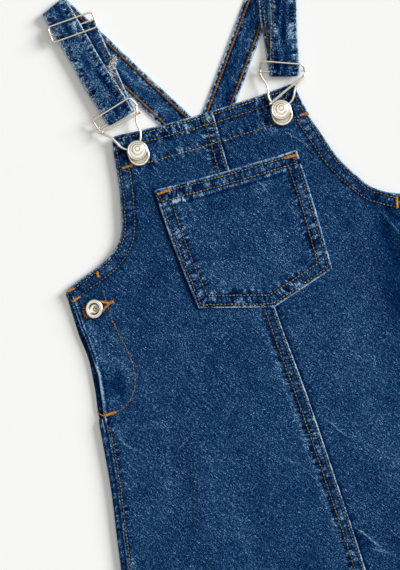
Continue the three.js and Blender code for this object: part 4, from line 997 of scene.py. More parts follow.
def front_strap_grid(side):
    """Middle surface of the whole front stretch, from the free end to the shoulder fold."""
    s, f = STRAPS[side], strap_frame(side)
    shift_at, scale_at = track(SWAY[side], "shift"), track(SWAY[side], "scale")
    rows, part = [], []

    def place(along, v, shift, lateral):
        return f["bar"][None] + f["up"][None] * np.reshape(along, (-1, 1)) + np.outer(v + shift, lateral)
    for along in np.linspace(FREE_END, 1.2, 76):
        p = place(along, VS, s["drift0"] + s["drift"] * along, f["right"])
        rows.append(np.column_stack([p[:, 0], BIB_LINE + p[:, 1], np.full(len(VS), UNDER_Z)]))
        part.append(0)
    for a in np.radians(np.linspace(0, 180, 15)):
        k = a / math.pi
        p = place(-(LOOP + s["slack"]) * math.sin(a), VS * mix(1, float(scale_at(0)), k),
                  mix(s["drift0"], float(shift_at(0)), k), f["right"])
        rows.append(np.column_stack([p[:, 0], BIB_LINE + p[:, 1], np.full(len(VS), BAR_Z - LOOP * math.cos(a))]))
        part.append(1)
    base = f["reach"] - FOLD_R
    turn = math.radians(s["turn"])
    for along in np.linspace(1.2, base - 0.8, 122):
        k = float(smooth(96, base, along))
        lateral = unit(mix(f["right"], f["crease"], k))
        p = place(along, VS * float(scale_at(along)), float(shift_at(along)), lateral)
        dist = -(p[:, 0] - s["slider"][0]) * math.sin(turn) + (p[:, 1] - s["slider"][1]) * math.cos(turn)
        hump = np.where(np.abs(dist) < PITCH, WEAVE * (1 + np.cos(np.pi * dist / PITCH)), 0)
        z = mix(float(strap_level(along)), WEAVE_Z + hump, 1 - smooth(9, 14, np.abs(dist)))
        rows.append(np.column_stack([p[:, 0], BIB_LINE + p[:, 1], z]))
        part.append(2)
    for a in np.radians(np.linspace(0, 172, 17)):
        p = f["shoulder"][None] + f["outward"][None] * (-FOLD_R + FOLD_R * math.sin(a)) + np.outer(VS, f["crease"])
        rows.append(np.column_stack([p[:, 0], BIB_LINE + p[:, 1], np.full(len(VS), BACK_STRAP_Z + FOLD_R + FOLD_R * math.cos(a))]))
        part.append(3)
    return np.array(rows), np.array(part)


def back_strap_grid(side):
    f = strap_frame(side)
    rows = []
    for along in np.linspace(0.5, f["back_reach"] - FOLD_R - 0.2, 150):
        k = float(smooth(f["back_reach"] - 30, f["back_reach"] - FOLD_R, along))
        lateral = unit(mix(f["back_right"], f["crease"], k))
        p = f["start"][None] + f["back_up"][None] * along + np.outer(VS, lateral)
        rows.append(np.column_stack([p[:, 0], BIB_LINE + p[:, 1], np.full(len(VS), BACK_STRAP_Z)]))
    return np.array(rows)


def ribbon(name, mid, seed, wall, floor=False, worn=(0.5, 0.5), row=(2.6, 0.9, 0.30), long=0.34, material=None, lip=1.35):
    """A doubled strap: rounded folded edges, puckers along its two rows, whose troughs are darker partly as unworn dye
    and partly as painted shade, a few long creases, paler on their ridges from wear and darker in their hollows as
    painted shade, and one long trough painted darker as shade. Returns the piece and the two surfaces, upper and lower,
    for the thread."""
    rows, cols = mid.shape[:2]
    step = np.linalg.norm(np.diff(mid[:, cols // 2], axis=0), axis=1)
    s = np.concatenate([[0], np.cumsum(step)])
    dr, dc = np.gradient(mid, axis=0), np.gradient(mid, axis=1)
    n = np.cross(dr, dc)
    n /= np.linalg.norm(n, axis=-1)[..., None] + 1e-12
    S, V = np.meshgrid(s, VS, indexing="ij")
    edge = 13 - np.abs(V)
    ends = np.minimum(S, s[-1] - S)
    round_ = np.sqrt(np.clip(1 - (1 - np.clip(np.minimum(edge / 1.3, ends / 0.9), 0, 1)) ** 2, 0, 1))
    h, w = np.zeros_like(S), np.zeros_like(S)
    band, edge_at = np.zeros_like(S), np.zeros(S.shape + (3,))
    for sign, k in ((-1, 0), (1, 5)):
        d = 13 - sign * V
        p = 0.6 * noise1((S + 0.5 * d) / 4.0, seed + k) + 0.4 * noise1((S + 0.5 * d) / 2.2, seed + k + 1)
        window = smooth(0.4, 1.6, d) * (1 - smooth(4.0, 9.0, d))
        h = h + 0.20 * p * window - 0.22 * np.exp(-((d - row[0]) / 0.7) ** 2)
        # The row's trough is darker, partly as unworn dye and partly as painted shade.
        w = w - row[2] * np.exp(-((d - row[0]) / row[1]) ** 2)
        w = w + worn[k > 0] * np.exp(-(d / lip) ** 2) * (0.85 + 0.40 * noise1(S / 4.6, seed + k + 2))
        swap = window > band
        edge_at = np.where(swap[..., None], np.stack([S + 40.0 * (seed + k), d, np.zeros_like(d)], -1), edge_at)
        band = np.maximum(band, window)
    # Long creases: paler on their ridges from wear, darker in their hollows as painted shade.
    for j in range(3):
        c = -6 + 6 * j + 2.2 * noise1(S / 28.0 + 9 * j, seed + 20 + j)
        amp = noise1(S / 17.0 + 5 * j, seed + 30 + j)
        g = np.exp(-((V - c) / 2.2) ** 2)
        h = h + 0.26 * amp * g
        w = w + long * (amp - 0.04) * g
    # One long trough, painted darker as shade.
    trough = np.exp(-((V + 7.0 + 1.0 * noise1(S / 30, seed + 50)) / 1.5) ** 2)
    h, w = h - 0.26 * trough, w - 0.20 * trough
    w = w + 0.10 * noise2(S / 15, V / 4 + 3, seed + 40) + 0.07 * noise2(S / 5.5, V / 2.2 + 3, seed + 41)
    band = 0.60 * band + 0.06
    half = wall / 2
    upper = mid + n * ((half * round_ + h * round_))[..., None]
    lower = mid - n * ((half * round_ + (0 if floor else 0.6) * h * round_))[..., None]
    if floor:
        lower[..., 2] = np.maximum(lower[..., 2], 0)
        upper[..., 2] = np.maximum(upper[..., 2], 0)
    upper[0], upper[-1], upper[:, 0], upper[:, -1] = mid[0], mid[-1], mid[:, 0], mid[:, -1]
    grain = np.stack([V + seed, S, np.zeros_like(S)], -1)
    piece = shell(name, upper, lower, material or DENIM_STRAP, dict(grain=grain, wear_and_shade=w, edge=edge_at, band=band), sparse=False)
    lower[0], lower[-1], lower[:, 0], lower[:, -1] = mid[0], mid[-1], mid[:, 0], mid[:, -1]
    return piece, dict(upper=upper, lower=lower, normal=n, s=s, length=float(s[-1]))


# ---- thread ----------------------------------------------------------------------------------------


def stitch_mesh(name, starts, ends, normals, material, radius=0.34, height=0.36, rings=5, sides=6, shades=None, sink=0.10):
    """Many separate stitches in one mesh: each a short arched thread from start to end."""
    a, b, n = (np.asarray(v, float).reshape(-1, 3) for v in (starts, ends, normals))
    count = len(a)
    if not count:
        return None
    axis = b - a
    length = np.linalg.norm(axis, axis=1)[:, None] + 1e-9
    t = axis / length
    side = np.cross(n, t)
    side /= np.linalg.norm(side, axis=1)[:, None] + 1e-9
    nn = np.cross(t, side)
    u = np.linspace(0, 1, rings)
    arch = np.sin(math.pi * u) ** 0.6
    width = np.interp(u, [0, 0.18, 0.5, 0.82, 1], [0.55, 0.95, 1.0, 0.95, 0.55])
    ang = np.linspace(0, 2 * math.pi, sides, endpoint=False)
    points = np.empty((count, rings, sides, 3))
    for i in range(rings):
        c = a + axis * u[i] + nn * (height * arch[i] - sink)
        for j in range(sides):
            points[:, i, j] = c + side * (radius * width[i] * math.cos(ang[j])) + nn * (0.72 * radius * width[i] * math.sin(ang[j]))
    base = (np.arange(count) * rings * sides)[:, None]
    quads = []
    for i in range(rings - 1):
        for j in range(sides):
            k = (j + 1) % sides
            quads.append([i * sides + j, i * sides + k, (i + 1) * sides + k, (i + 1) * sides + j])
    quads = np.array(quads)
    faces = (base[:, :, None] + quads[None]).reshape(-1, 4).tolist()
    cap0 = np.arange(sides)[::-1]
    cap1 = (rings - 1) * sides + np.arange(sides)
    faces += (base + cap0[None]).tolist() + (base + cap1[None]).tolist()
    rng = np.random.RandomState(len(name) * 7 + count)
    shade = rng.uniform(0.25, 0.8, count) if shades is None else np.asarray(shades)
    per = np.repeat(shade, rings * sides)
    local = points - points[:, :1, :1]
    grain = np.stack([np.tile(np.repeat(u, sides), count) * 3.0 + np.repeat(rng.rand(count) * 50, rings * sides),
                      np.tile(np.tile(ang, rings), count) / 3.0, per * 10], -1)
    piece = make_mesh(name, points.reshape(-1, 3), faces, material, dict(grain=grain, wear_and_shade=per))
    return piece


class Threads:
    """Collects stitches by name and thread, and makes one mesh of each."""

    def __init__(self):
        self.groups = {}

    def add(self, name, starts, ends, normals, material=TAN, radius=0.34, height=0.34):
        g = self.groups.setdefault(name, dict(a=[], b=[], n=[], material=material, radius=radius, height=height))
        g["a"].append(np.reshape(starts, (-1, 3)))
        g["b"].append(np.reshape(ends, (-1, 3)))
        g["n"].append(np.reshape(normals, (-1, 3)))

    def build(self):
        made = []
        for name, g in self.groups.items():
            p = stitch_mesh(name, np.concatenate(g["a"]), np.concatenate(g["b"]), np.concatenate(g["n"]),
                            g["material"], g["radius"], g["height"])
            if p is not None:
                made.append(p)
        return made


threads = Threads()


def height_on(which, x, y):
    if which == "pocket":
        return pocket_surface(x, y)[0]
    return front_surface(which, x, y)[0]


def normals_on(which, x, y):
    e = 0.6
    zx = (height_on(which, x + e, y) - height_on(which, x - e, y)) / (2 * e)
    zy = (height_on(which, x, y + e) - height_on(which, x, y - e)) / (2 * e)
    n = np.stack([-zx * 0.6, -zy * 0.6, np.ones_like(zx)], -1)
    return n / np.linalg.norm(n, axis=-1)[..., None]


def run(which, line, name, material=TAN, pitch=3.2, fill=0.72, radius=0.54, height=0.38, seed=1, wobble=0.18):
    """A row of stitches along a line on a surface."""
    p = line_of(line, 0.5)
    s = np.concatenate([[0], np.cumsum(np.hypot(*np.diff(p[:, :2], axis=0).T))])
    rng = np.random.RandomState(seed)
    count = max(1, int(s[-1] / pitch))
    step = s[-1] / count
    starts = np.arange(count) * step + step * (1 - fill) / 2 + rng.uniform(-0.12, 0.12, count)
    stops = starts + step * fill + rng.uniform(-0.15, 0.15, count)

    def at(v):
        return np.stack([np.interp(v, s, p[:, 0]), np.interp(v, s, p[:, 1])], 1)
    a, b = at(starts), at(stops)
    side = np.stack([-(b - a)[:, 1], (b - a)[:, 0]], 1)
    side /= np.linalg.norm(side, axis=1)[:, None]
    off = rng.normal(0, wobble, (count, 1))
    a, b = a + side * off, b + side * (off + rng.normal(0, 0.08, (count, 1)))
    za, zb = height_on(which, a[:, 0], a[:, 1]), height_on(which, b[:, 0], b[:, 1])
    m = 0.5 * (a + b)
    zm = height_on(which, m[:, 0], m[:, 1])
    lift = np.maximum(0, zm - 0.5 * (za + zb))
    a3, b3 = np.column_stack([a, za + lift + 0.05]), np.column_stack([b, zb + lift + 0.05])
    threads.add(name, a3, b3, normals_on(which, m[:, 0], m[:, 1]), material, radius, height)


def tack(which, p0, p1, name, wide=2.3, pitch=0.52, material=ORANGE):
    """A bartack: a dense bar of short stitches across the line from p0 to p1."""
    p0, p1 = np.array(p0, float), np.array(p1, float)
    length = np.linalg.norm(p1 - p0)
    t = (p1 - p0) / length
    side = np.array([-t[1], t[0]])
    n = max(3, int(length / pitch))
    rng = np.random.RandomState(int(abs(p0[0] * 7 + p0[1] * 3)) % 9973)
    u = np.linspace(0, length, n)
    c = p0[None] + np.outer(u, t)
    half = wide / 2 * (1 + rng.uniform(-0.16, 0.10, n))[:, None]
    a, b = c - side * half + t * 0.25, c + side * half - t * 0.25
    z = height_on(which, c[:, 0], c[:, 1]) + 0.22
    threads.add(name, np.column_stack([a, z]), np.column_stack([b, z]), np.tile([0, 0, 1.0], (n, 1)), material, 0.36, 0.36)


def at_down(curve, a, b, n=120):
    d = np.linspace(a, b, n)
    return np.stack([curve(d), front_y(curve(d), d)], 1)


# ---- build the cloth -------------------------------------------------------------------------------
front_half("left")
front_half("right")
back_panel()
underlap("left")
underlap("right")
pocket_patch()
BANDS = {}
for side in ("left", "right"):
    grid, part = front_strap_grid(side)
    piece, BANDS[f"front_{side}"] = ribbon(f"Strap_front_{side}", grid, 501 if side == "left" else 541, STRAP_WALL,
                                           worn=(0.52, 0.58), long=0.50 if side == "right" else 0.40)
    BANDS[f"front_{side}"]["part"] = part
    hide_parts(f"strap_front_{side}")
    grid = back_strap_grid(side)
    piece, BANDS[f"back_{side}"] = ribbon(f"Strap_back_{side}", grid, 581 if side == "left" else 621, STRAP_WALL - 0.1, floor=True,
                                          worn=(0.62, 0.62), row=(3.9, 1.5, 0.60), long=0.20, material=DENIM_REVERSE, lip=2.3)
    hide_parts(f"strap_back_{side}")



def raw_end(side):
    """The strap's raw end, which comes back down from the slider over the free end. Only the part beside the front
    stretch shows. Returns a function from (along, v) to its top."""
    s, f = STRAPS[side], strap_frame(side)
    along = np.concatenate([np.linspace(0, 3, 9), np.linspace(3.6, 46.0, 60)])
    k = np.concatenate([[0, 0.03, 0.07, 0.12, 0.18], np.linspace(0.26, 0.80, 9), [0.86, 0.91, 0.95, 0.98, 1.0]])
    A, K = np.meshgrid(along, k, indexing="ij")
    inner = 13.35
    start = s["raw"] + s["slant"] * 9 * (K - 0.1) + 0.7 * noise1(K * 23, 71) * (A < 2)
    a = start + A * (88.0 - start) / 46.0
    outer = np.abs(s["drift0"] + s["drift"] * a) + 13 + mix(0.9, -0.2, smooth(48, 62, a))
    v = mix(inner, outer, K)
    top = UNDER_Z + 0.8 + RAW_WALL + 0.14 * noise2(a / 6.0, v / 3.0, 77)
    edge_d = outer - v
    top = top - 0.24 * np.exp(-((edge_d - 2.6) / 0.7) ** 2)
    border = np.minimum(np.minimum(edge_d, (v - inner) * 1.4), np.minimum(a - start, 88 - a))
    round_ = np.sqrt(np.clip(1 - (1 - np.clip(border / 1.0, 0, 1)) ** 2, 0, 1))
    low = UNDER_Z + 0.86
    mid = 0.5 * (top + low)

    def place(a_, v_, z_):
        q = f["bar"] + a_[..., None] * f["up"] + (s["out"] * v_)[..., None] * f["right"]
        return np.stack([q[..., 0], BIB_LINE + q[..., 1], z_], -1)
    upper = place(a, v, mid + (top - mid) * round_)
    lower = place(a, v, mid - (mid - low) * round_)
    w = (0.66 * np.exp(-(edge_d / 1.2) ** 2) - 0.30 * np.exp(-((edge_d - 2.6) / 0.9) ** 2) - 0.12
         - 0.30 * (1 - smooth(0, 3.0, v - inner)) + 0.12 * noise2(a / 5, v / 3, 78) + 0.30 * np.exp(-((a - start) / 2.0) ** 2))
    data = dict(grain=np.stack([v + 7, a, np.zeros_like(a)], -1), wear_and_shade=w,
                edge=np.stack([a, edge_d, np.zeros_like(a)], -1), band=0.4 * (1 - smooth(3, 7, edge_d)))
    piece = shell(f"Strap_end_{side}", upper, lower, DENIM_STRAP, data, sparse=False)

    def at(a_, v_):
        a_, v_ = np.asarray(a_, float), np.asarray(v_, float)
        return place(a_, v_, np.full_like(a_, UNDER_Z + 0.8 + RAW_WALL))
    return at


RAW = {side: raw_end(side) for side in ("left", "right")}

# ---- topstitching ----------------------------------------------------------------------------------
for side in ("left", "right"):
    o = OUTLINES[side]
    inward = 1 if side == "left" else -1
    name = f"Stitches_front_{side}"
    top = o["top"]
    def keep(line, x0, x1):
        return line[(line[:, 0] > x0) & (line[:, 0] < x1)]
    row1 = offset_line(top, inward * 3.4)
    row2 = offset_line(top, inward * 11.2)
    bib = f"Rows_bib_{side}"
    if side == "left":
        run(side, keep(row1, -101, 60), bib, GOLD, seed=3)
        run(side, keep(row2, -80, 60), bib, GOLD, seed=4)
    else:
        run(side, keep(row1, -60, 66), bib, GOLD, seed=5)
        run(side, keep(row2, -60, 60), bib, GOLD, seed=6)
    xs = np.linspace(*((-97.5, -10) if side == "left" else (-9, 72)), 60)
    run(side, np.stack([xs, BIB_LINE - 26.6 + 0.0002 * (xs + 13) ** 2], 1), bib, GOLD, seed=7)
    arm = o["arm"]
    a1, a2 = offset_line(arm, inward * 3.3), offset_line(arm, inward * 11.7)
    n_arm = len(arm)
    run(side, a1[3:n_arm - 2], name, seed=8)
    run(side, a2[13:n_arm - 2], name, seed=9)
    groove = o["groove"]
    run(side, offset_line(groove, inward * 3.2)[4:-2], name, seed=10)
    hem = o["hem"]
    for k, off in enumerate((3.0, 20.5)):
        run(side, offset_line(hem, -inward * off)[2:-2], name, seed=11 + k)
    if side == "left":
        lap = o["lap"]
        for k, off in enumerate((2.8, 9.5)):
            run(side, offset_line(lap, -off)[1:-1], f"Stitches_seam", seed=13 + k)

# J-shaped rows of the two side openings: the left as seen, the right one mirrored.
J_ROW = [dict(x=a, y=b) for a, b in (
    (102.5, 290), (105, 297), (109, 312), (113.5, 323), (119, 334.5), (125, 346), (130, 356.5), (133.3, 366.5),
    (135, 377), (134.8, 388), (132, 397.5), (127, 404.5), (121.5, 409.5), (116, 412.3))]


def eased(points, n=120):
    pts = np.array(points, float)
    s = np.concatenate([[0], np.cumsum(np.hypot(*np.diff(pts, axis=0).T))])
    t = np.linspace(0, s[-1], n)
    line = np.stack([np.interp(t, s, pts[:, 0]), np.interp(t, s, pts[:, 1])], 1)
    for _ in range(14):
        line[1:-1] = 0.25 * line[:-2] + 0.5 * line[1:-1] + 0.25 * line[2:]
    return line


def mirrored(points):
    """The same place on the right side opening, by depth and distance from the cloth's edge."""
    out = []
    for x, y in points:
        down = BIB_LINE - y
        out.append((float(edge_right(down + 16)) - (x - float(edge_left(down))) + 2.0, y - 16))
    return out


j_left = [img(r["x"], r["y"]) for r in J_ROW]
tail_left = [img(97.0, 411.7), img(100.2, 414.6), img(103.9, 415.9)]
for side in ("left", "right"):
    flip = (lambda p: p) if side == "left" else mirrored
    run(side, eased(flip(j_left)), f"Stitches_opening_{side}", OPENING, seed=15, radius=0.42, fill=0.80)
    run(side, eased(flip(tail_left), 30), f"Tails_{side}", ORANGE, pitch=2.2, fill=1.0, seed=16, radius=0.42)
    p0, p1 = flip([img(103.9, 416.0), img(116.0, 412.0)])
    tack(side, p0, p1, f"Tacks_{side}", wide=2.7)
    pale = flip([img(102.2, 419), img(103.4, 425.5), img(105.5, 432.5)])
    run(side, eased(pale, 30), f"Tails_pale_{side}", PALE, pitch=2.6, fill=0.9, seed=17, radius=0.30)

# Keyhole buttonholes: radial thread round the eye, two lips that close on a bar.
HOLE = dict(eye=(93.0, 310.5), round=8.7, lip_a=((99.0, 301.8), (103.6, 302.4), (108.6, 303.2)),
            lip_b=((101.2, 312.0), (104.6, 308.0), (108.6, 304.2)), bar=((107.6, 303.9), (113.4, 301.7)))


def satin(which, centre, outward, half, name, material=ORANGE, radius=0.42):
    z = height_on(which, centre[:, 0], centre[:, 1]) + 0.12
    a, b = centre - outward * half, centre + outward * half
    threads.add(name, np.column_stack([a, z]), np.column_stack([b, z]), np.tile([0, 0, 1.0], (len(a), 1)), material, radius, 0.42)


for side in ("left", "right"):
    flip = (lambda p: p) if side == "left" else mirrored
    ex, ey = flip([img(*HOLE["eye"])])[0]
    if side == "right":
        bx, bd = PLACKET["right"]["button"]
        ex, ey = bx + 2.0, BIB_LINE - bd
    a = np.radians(np.arange(140, 219, 7.5) if side == "left" else np.arange(-50, 50, 7.5))
    a = a + np.random.RandomState(5).uniform(-0.06, 0.06, len(a))
    out = np.stack([np.cos(a), np.sin(a)], 1)
    satin(side, np.array([ex, ey]) + out * HOLE["round"], out, 1.2, f"Buttonhole_{side}", radius=0.34)
    button = np.array([PLACKET[side]["button"][0], BIB_LINE - PLACKET[side]["button"][1]])
    for lip in ("lip_a", "lip_b"):
        pts = np.array([img(*p) for p in HOLE[lip]])
        if side == "right":
            left_button = np.array([PLACKET["left"]["button"][0], BIB_LINE - PLACKET["left"]["button"][1]])
            pts = button + (pts - left_button) * np.array([-1, 1]) * np.array([0.6, 1])
        line = line_of(eased(pts, 40), 0.55)
        t = np.gradient(line, axis=0)
        t /= np.linalg.norm(t, axis=1)[:, None]
        satin(side, line, np.stack([-t[:, 1], t[:, 0]], 1), 1.15, f"Buttonhole_{side}")
    pts = np.array([img(*p) for p in HOLE["bar"]])
    if side == "right":
        pts = button + (pts - left_button) * np.array([-1, 1]) * np.array([0.6, 1])
    tack(side, pts[0], pts[1], f"Tacks_{side}", wide=2.9)

# Pocket rows and its corner tacks.
mouth, sides_line = POCKET_LINES["mouth"], POCKET_SIDES
run("pocket", offset_line(mouth, -3.8)[2:-2], "Stitches_pocket", GOLD, seed=21, fill=0.76)
run("pocket", offset_line(mouth, -11.7)[2:-2], "Stitches_pocket", GOLD, seed=22, fill=0.80)


def inset(points, by):
    """The pocket's side and lower outline, moved in with its corners kept sharp."""
    c = [np.array(p, float) for p in points]
    out = []
    for i in range(len(c)):
        if i == 0 or i == len(c) - 1:
            a, b = (c[0], c[1]) if i == 0 else (c[-2], c[-1])
            t = unit(b - a)
            out.append(c[i] + by * np.array([-t[1], t[0]]))
            continue
        t1, t2 = unit(c[i] - c[i - 1]), unit(c[i + 1] - c[i])
        n1, n2 = np.array([-t1[1], t1[0]]), np.array([-t2[1], t2[0]])
        m = unit(n1 + n2)
        out.append(c[i] + m * by / (m @ n1))
    return out


corner = [pocket_xy(np.array(t), np.array(k)) for t, k in (
    (0.0, 0.0), (1.0, 0.0), (1.0, (POCKET["point"][0] - POCKET["ll"][0]) / (POCKET["lr"][0] - POCKET["ll"][0])), (1.0, 1.0), (0.0, 1.0))]
for k, off in enumerate((3.4, 11.5)):
    c = inset(corner, off)
    for i in range(4):
        a, b = np.array(c[i]), np.array(c[i + 1])
        if i == 0:
            a = a + unit(b - a) * (3 if off < 5 else 13)
        if i == 3:
            b = b + unit(a - b) * (3 if off < 5 else 13)
        row = np.linspace(a, b, 60)
        if i in (0, 3):
            row[:, 0] += (-1.5 if i == 0 else 1.0) * np.sin(np.linspace(0, math.pi, 60))
        run("pocket", row, "Stitches_pocket" if i in (1, 2) else "Stitches_pocket_sides", GOLD if i in (1, 2) else TAN, seed=23 + 4 * k + i)
c = inset(corner, 2.2)
for a, b in ((c[0], -1), (c[4], 1)):
    a = np.array(a)
    inner_end = a + np.array([-b * 11.0, 0.3])
    tack("pocket", a + np.array([0, -4.6]), inner_end + np.array([0, -4.4]), "Tacks_pocket", wide=2.6)
    upright = (inner_end if b < 0 else a + np.array([0.6, 0])) + np.array([0, -4.5])
    tack("pocket", upright + np.array([0, 2.2]), upright - np.array([0, 2.2]), "Tacks_pocket", wide=1.6)

# Bartacks of the bib, where the facing's row ends at each armhole.
for side, p0, p1 in (("left", img(122.5, 168.5), img(132.5, 165)), ("right", img(300, 115.5), img(308, 113)),
                     ("left", img(97, 272), img(98.3, 277)), ("right", img(396.5, 197), img(397.2, 208)),
                     ("left", img(68, 291.5), img(74, 288.6)), ("left", img(73, 301.5), img(79.5, 297))):
    tack(side, p0, p1, f"Tacks_{side}")

# Strap rows: tan dashes at both edges of the front stretches, heavier rust rows on the back ones.


def strap_row(band, v, surface, rows, name, material, pitch, radius, height, fill=0.74, seed=1):
    s = band["s"][rows]
    col = np.interp(v, VS, np.arange(len(VS)))
    j = int(col)
    k = col - j
    line = band[surface][rows, j] * (1 - k) + band[surface][rows, j + 1] * k
    norm = band["normal"][rows, j] * (1 if surface == "upper" else -1)
    count = int((s[-1] - s[0]) / pitch)
    if count < 1:
        return
    rng = np.random.RandomState(seed)
    step = (s[-1] - s[0]) / count
    a = s[0] + np.arange(count) * step + 0.1 + rng.uniform(-0.1, 0.1, count)
    b = a + step * fill + rng.uniform(-0.12, 0.12, count)

    def at(values, source):
        return np.stack([np.interp(values, s, source[:, c]) for c in range(3)], 1)
    m = at(0.5 * (a + b), norm)
    m /= np.linalg.norm(m, axis=1)[:, None]
    lift = m * 0.06
    threads.add(name, at(a, line) + lift, at(b, line) + lift, m, material, radius, height)


for side in ("left", "right"):
    f, b = BANDS[f"front_{side}"], BANDS[f"back_{side}"]
    i = np.arange(len(f["s"]))
    top_rows = i[(f["part"] >= 2)]
    under_rows = i[(f["part"] == 0)]
    out = "upper" if f["normal"][top_rows[20], 10, 2] > 0 else "lower"
    back = "lower" if out == "upper" else "upper"
    for v in (-10.4, 10.4):
        strap_row(f, v, out, top_rows[1:-3], f"Stitches_strap_{side}", TAN, 3.2, 0.43, 0.36, fill=0.70, seed=31)
        strap_row(f, v * 0.95, back, under_rows[44:-2], f"Rows_under_{side}", RUST, 2.6, 0.95, 0.30, fill=1.06, seed=32)
        face = "upper" if b["normal"][20, 10, 2] > 0 else "lower"
        r = np.arange(len(b["s"]))
        strap_row(b, v * 0.875, face, r[1:-2], f"Rows_strap_{side}", RUST, 2.7, 1.12, 0.32, fill=1.08, seed=33)
    # The raw end: its own row of dashes, and the crumpled pale threads that come out of its cut.
    st = STRAPS[side]
    rng = np.random.RandomState(91 if side == "left" else 92)
    a0 = np.arange(st["raw"] + (9 if side == "left" else 3), 86, 3.2)
    outer = np.abs(st["drift0"] + st["drift"] * a0) + 13 - 2.9
    threads.add(f"Stitches_strap_{side}", RAW[side](a0, outer), RAW[side](a0 + 2.2, outer + 0.2), np.tile([0, 0, 1.0], (len(a0), 1)), TAN, 0.43, 0.36)
    for k in range(240 if side == "left" else 46):
        kk = rng.uniform(0.0, 1.20)
        a = st["raw"] + st["slant"] * 9 * (kk - 0.1) + rng.normal(-0.5, 2.4)
        reach = abs(st["drift0"] + st["drift"] * a) + 13.9 - 13.6
        v = 13.6 + kk * reach
        turn, size = rng.uniform(0, 2 * math.pi), rng.uniform(1.0, 3.3)
        p = RAW[side](np.array([a]), np.array([v]))
        q = RAW[side](np.array([a + size * math.sin(turn)]), np.array([max(13.4, v + size * math.cos(turn))]))
        p[:, 2] += rng.uniform(-0.5, 0.5)
        q[:, 2] += rng.uniform(-0.6, 0.5)
        dull = side == "right" or k % 5 in (1, 3)
        threads.add(f"Fray_dark_{side}" if dull else f"Fray_{side}", p, q, np.array([[0, 0, 1.0]]), DARK if dull else FRAY, 0.26, rng.uniform(0.2, 0.7))

for piece in threads.build():
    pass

# ---- hardware --------------------------------------------------------------------------------------


def catmull(points, per=8, closed=False):
    p = np.asarray(points, float)
    n = len(p)
    out = []
    for i in range(n if closed else n - 1):
        if closed:
            a, b, c, d = p[(i - 1) % n], p[i], p[(i + 1) % n], p[(i + 2) % n]
        else:
            b, c = p[i], p[i + 1]
            a = p[i - 1] if i else 2 * b - c
            d = p[i + 2] if i + 2 < n else 2 * c - b
        for t in np.linspace(0, 1, per, endpoint=False):
            out.append(0.5 * ((2 * b) + (c - a) * t + (2 * a - 5 * b + 4 * c - d) * t * t + (3 * b - a - 3 * c + d) * t ** 3))
    if not closed:
        out.append(p[-1])
    return np.array(out)


def rounded(points, bend, per=7):
    """Straight runs with rounded bends."""
    p = np.asarray(points, float)
    out = [p[0]]
    for i in range(1, len(p) - 1):
        a, b = p[i - 1] - p[i], p[i + 1] - p[i]
        cut = min(bend, 0.46 * np.linalg.norm(a), 0.46 * np.linalg.norm(b))
        s, e = p[i] + unit(a) * cut, p[i] + unit(b) * cut
        for t in np.linspace(0, 1, per):
            out.append((1 - t) ** 2 * s + 2 * t * (1 - t) * p[i] + t * t * e)
    out.append(p[-1])
    return np.array(out)


def tube(points, radius, sides=14, closed=False, caps=True):
    """Vertices and faces of a round wire along a path, with rounded ends."""
    p = np.asarray(points, float)
    keep = np.concatenate([[True], np.linalg.norm(np.diff(p, axis=0), axis=1) > 1e-6])
    p = p[keep]
    radii = np.full(len(p), radius)
    if not closed and caps:
        t0, t1 = unit(p[0] - p[1]), unit(p[-1] - p[-2])
        ext = [(0.55, 0.86), (0.85, 0.5), (0.98, 0.16)]
        head = np.array([p[0] + t0 * radius * e for e, _ in ext])[::-1]
        tail = np.array([p[-1] + t1 * radius * e for e, _ in ext])
        rr = [r * radius for _, r in ext]
        p = np.concatenate([head, p, tail])
        radii = np.concatenate([rr[::-1], radii, rr])
    n = len(p)
    t = (np.roll(p, -1, 0) - np.roll(p, 1, 0)) if closed else np.gradient(p, axis=0)
    t /= np.linalg.norm(t, axis=1)[:, None]
    ref = np.array([0, 0, 1.0]) if abs(t[0, 2]) < 0.8 else np.array([1.0, 0, 0])
    u = unit(np.cross(ref, t[0]))
    us = [u]
    for i in range(1, n):
        v = us[-1] - t[i] * (us[-1] @ t[i])
        us.append(unit(v))
    us = np.array(us)
    vs = np.cross(t, us)
    if closed:
        # Spread the small turn that is left over, so that the ends meet.
        last = us[-1] - t[0] * (us[-1] @ t[0])
        ang = math.atan2(last @ vs[0], last @ us[0])
        k = np.arange(n) / n * -ang
        us, vs = us * np.cos(k)[:, None] + vs * np.sin(k)[:, None], vs * np.cos(k)[:, None] - us * np.sin(k)[:, None]
    a = np.linspace(0, 2 * math.pi, sides, endpoint=False)
    pts = p[:, None] + radii[:, None, None] * (us[:, None] * np.cos(a)[None, :, None] + vs[:, None] * np.sin(a)[None, :, None])
    faces = []
    for i in range(n if closed else n - 1):
        j = (i + 1) % n
        for k in range(sides):
            l = (k + 1) % sides
            faces.append([i * sides + k, i * sides + l, j * sides + l, j * sides + k])
    if not closed:
        faces.append(list(range(sides))[::-1])
        faces.append([(n - 1) * sides + k for k in range(sides)])
    return pts.reshape(-1, 3), faces


def join(parts):
    points, faces, base = [], [], 0
    for p, f in parts:
        points.append(p)
        faces += [[i + base for i in q] for q in f]
        base += len(p)
    return np.concatenate(points), faces


def lathe(profile, segments=64):
    """A turned solid about Z, from its profile: the first and last points are on the axis."""
    pr = np.asarray(profile, float)
    a = np.linspace(0, 2 * math.pi, segments, endpoint=False)
    inner = pr[1:-1]
    pts = [[0, 0, pr[0, 1]]]
    for r, h in inner:
        pts += [[r * math.cos(t), r * math.sin(t), h] for t in a]
    pts.append([0, 0, pr[-1, 1]])
    faces = []
    n = len(inner)
    for k in range(segments):
        l = (k + 1) % segments
        faces.append([0, 1 + l, 1 + k])
        for i in range(n - 1):
            faces.append([1 + i * segments + k, 1 + i * segments + l, 1 + (i + 1) * segments + l, 1 + (i + 1) * segments + k])
        faces.append([1 + (n - 1) * segments + k, 1 + (n - 1) * segments + l, len(pts) - 1])
    return np.array(pts), faces


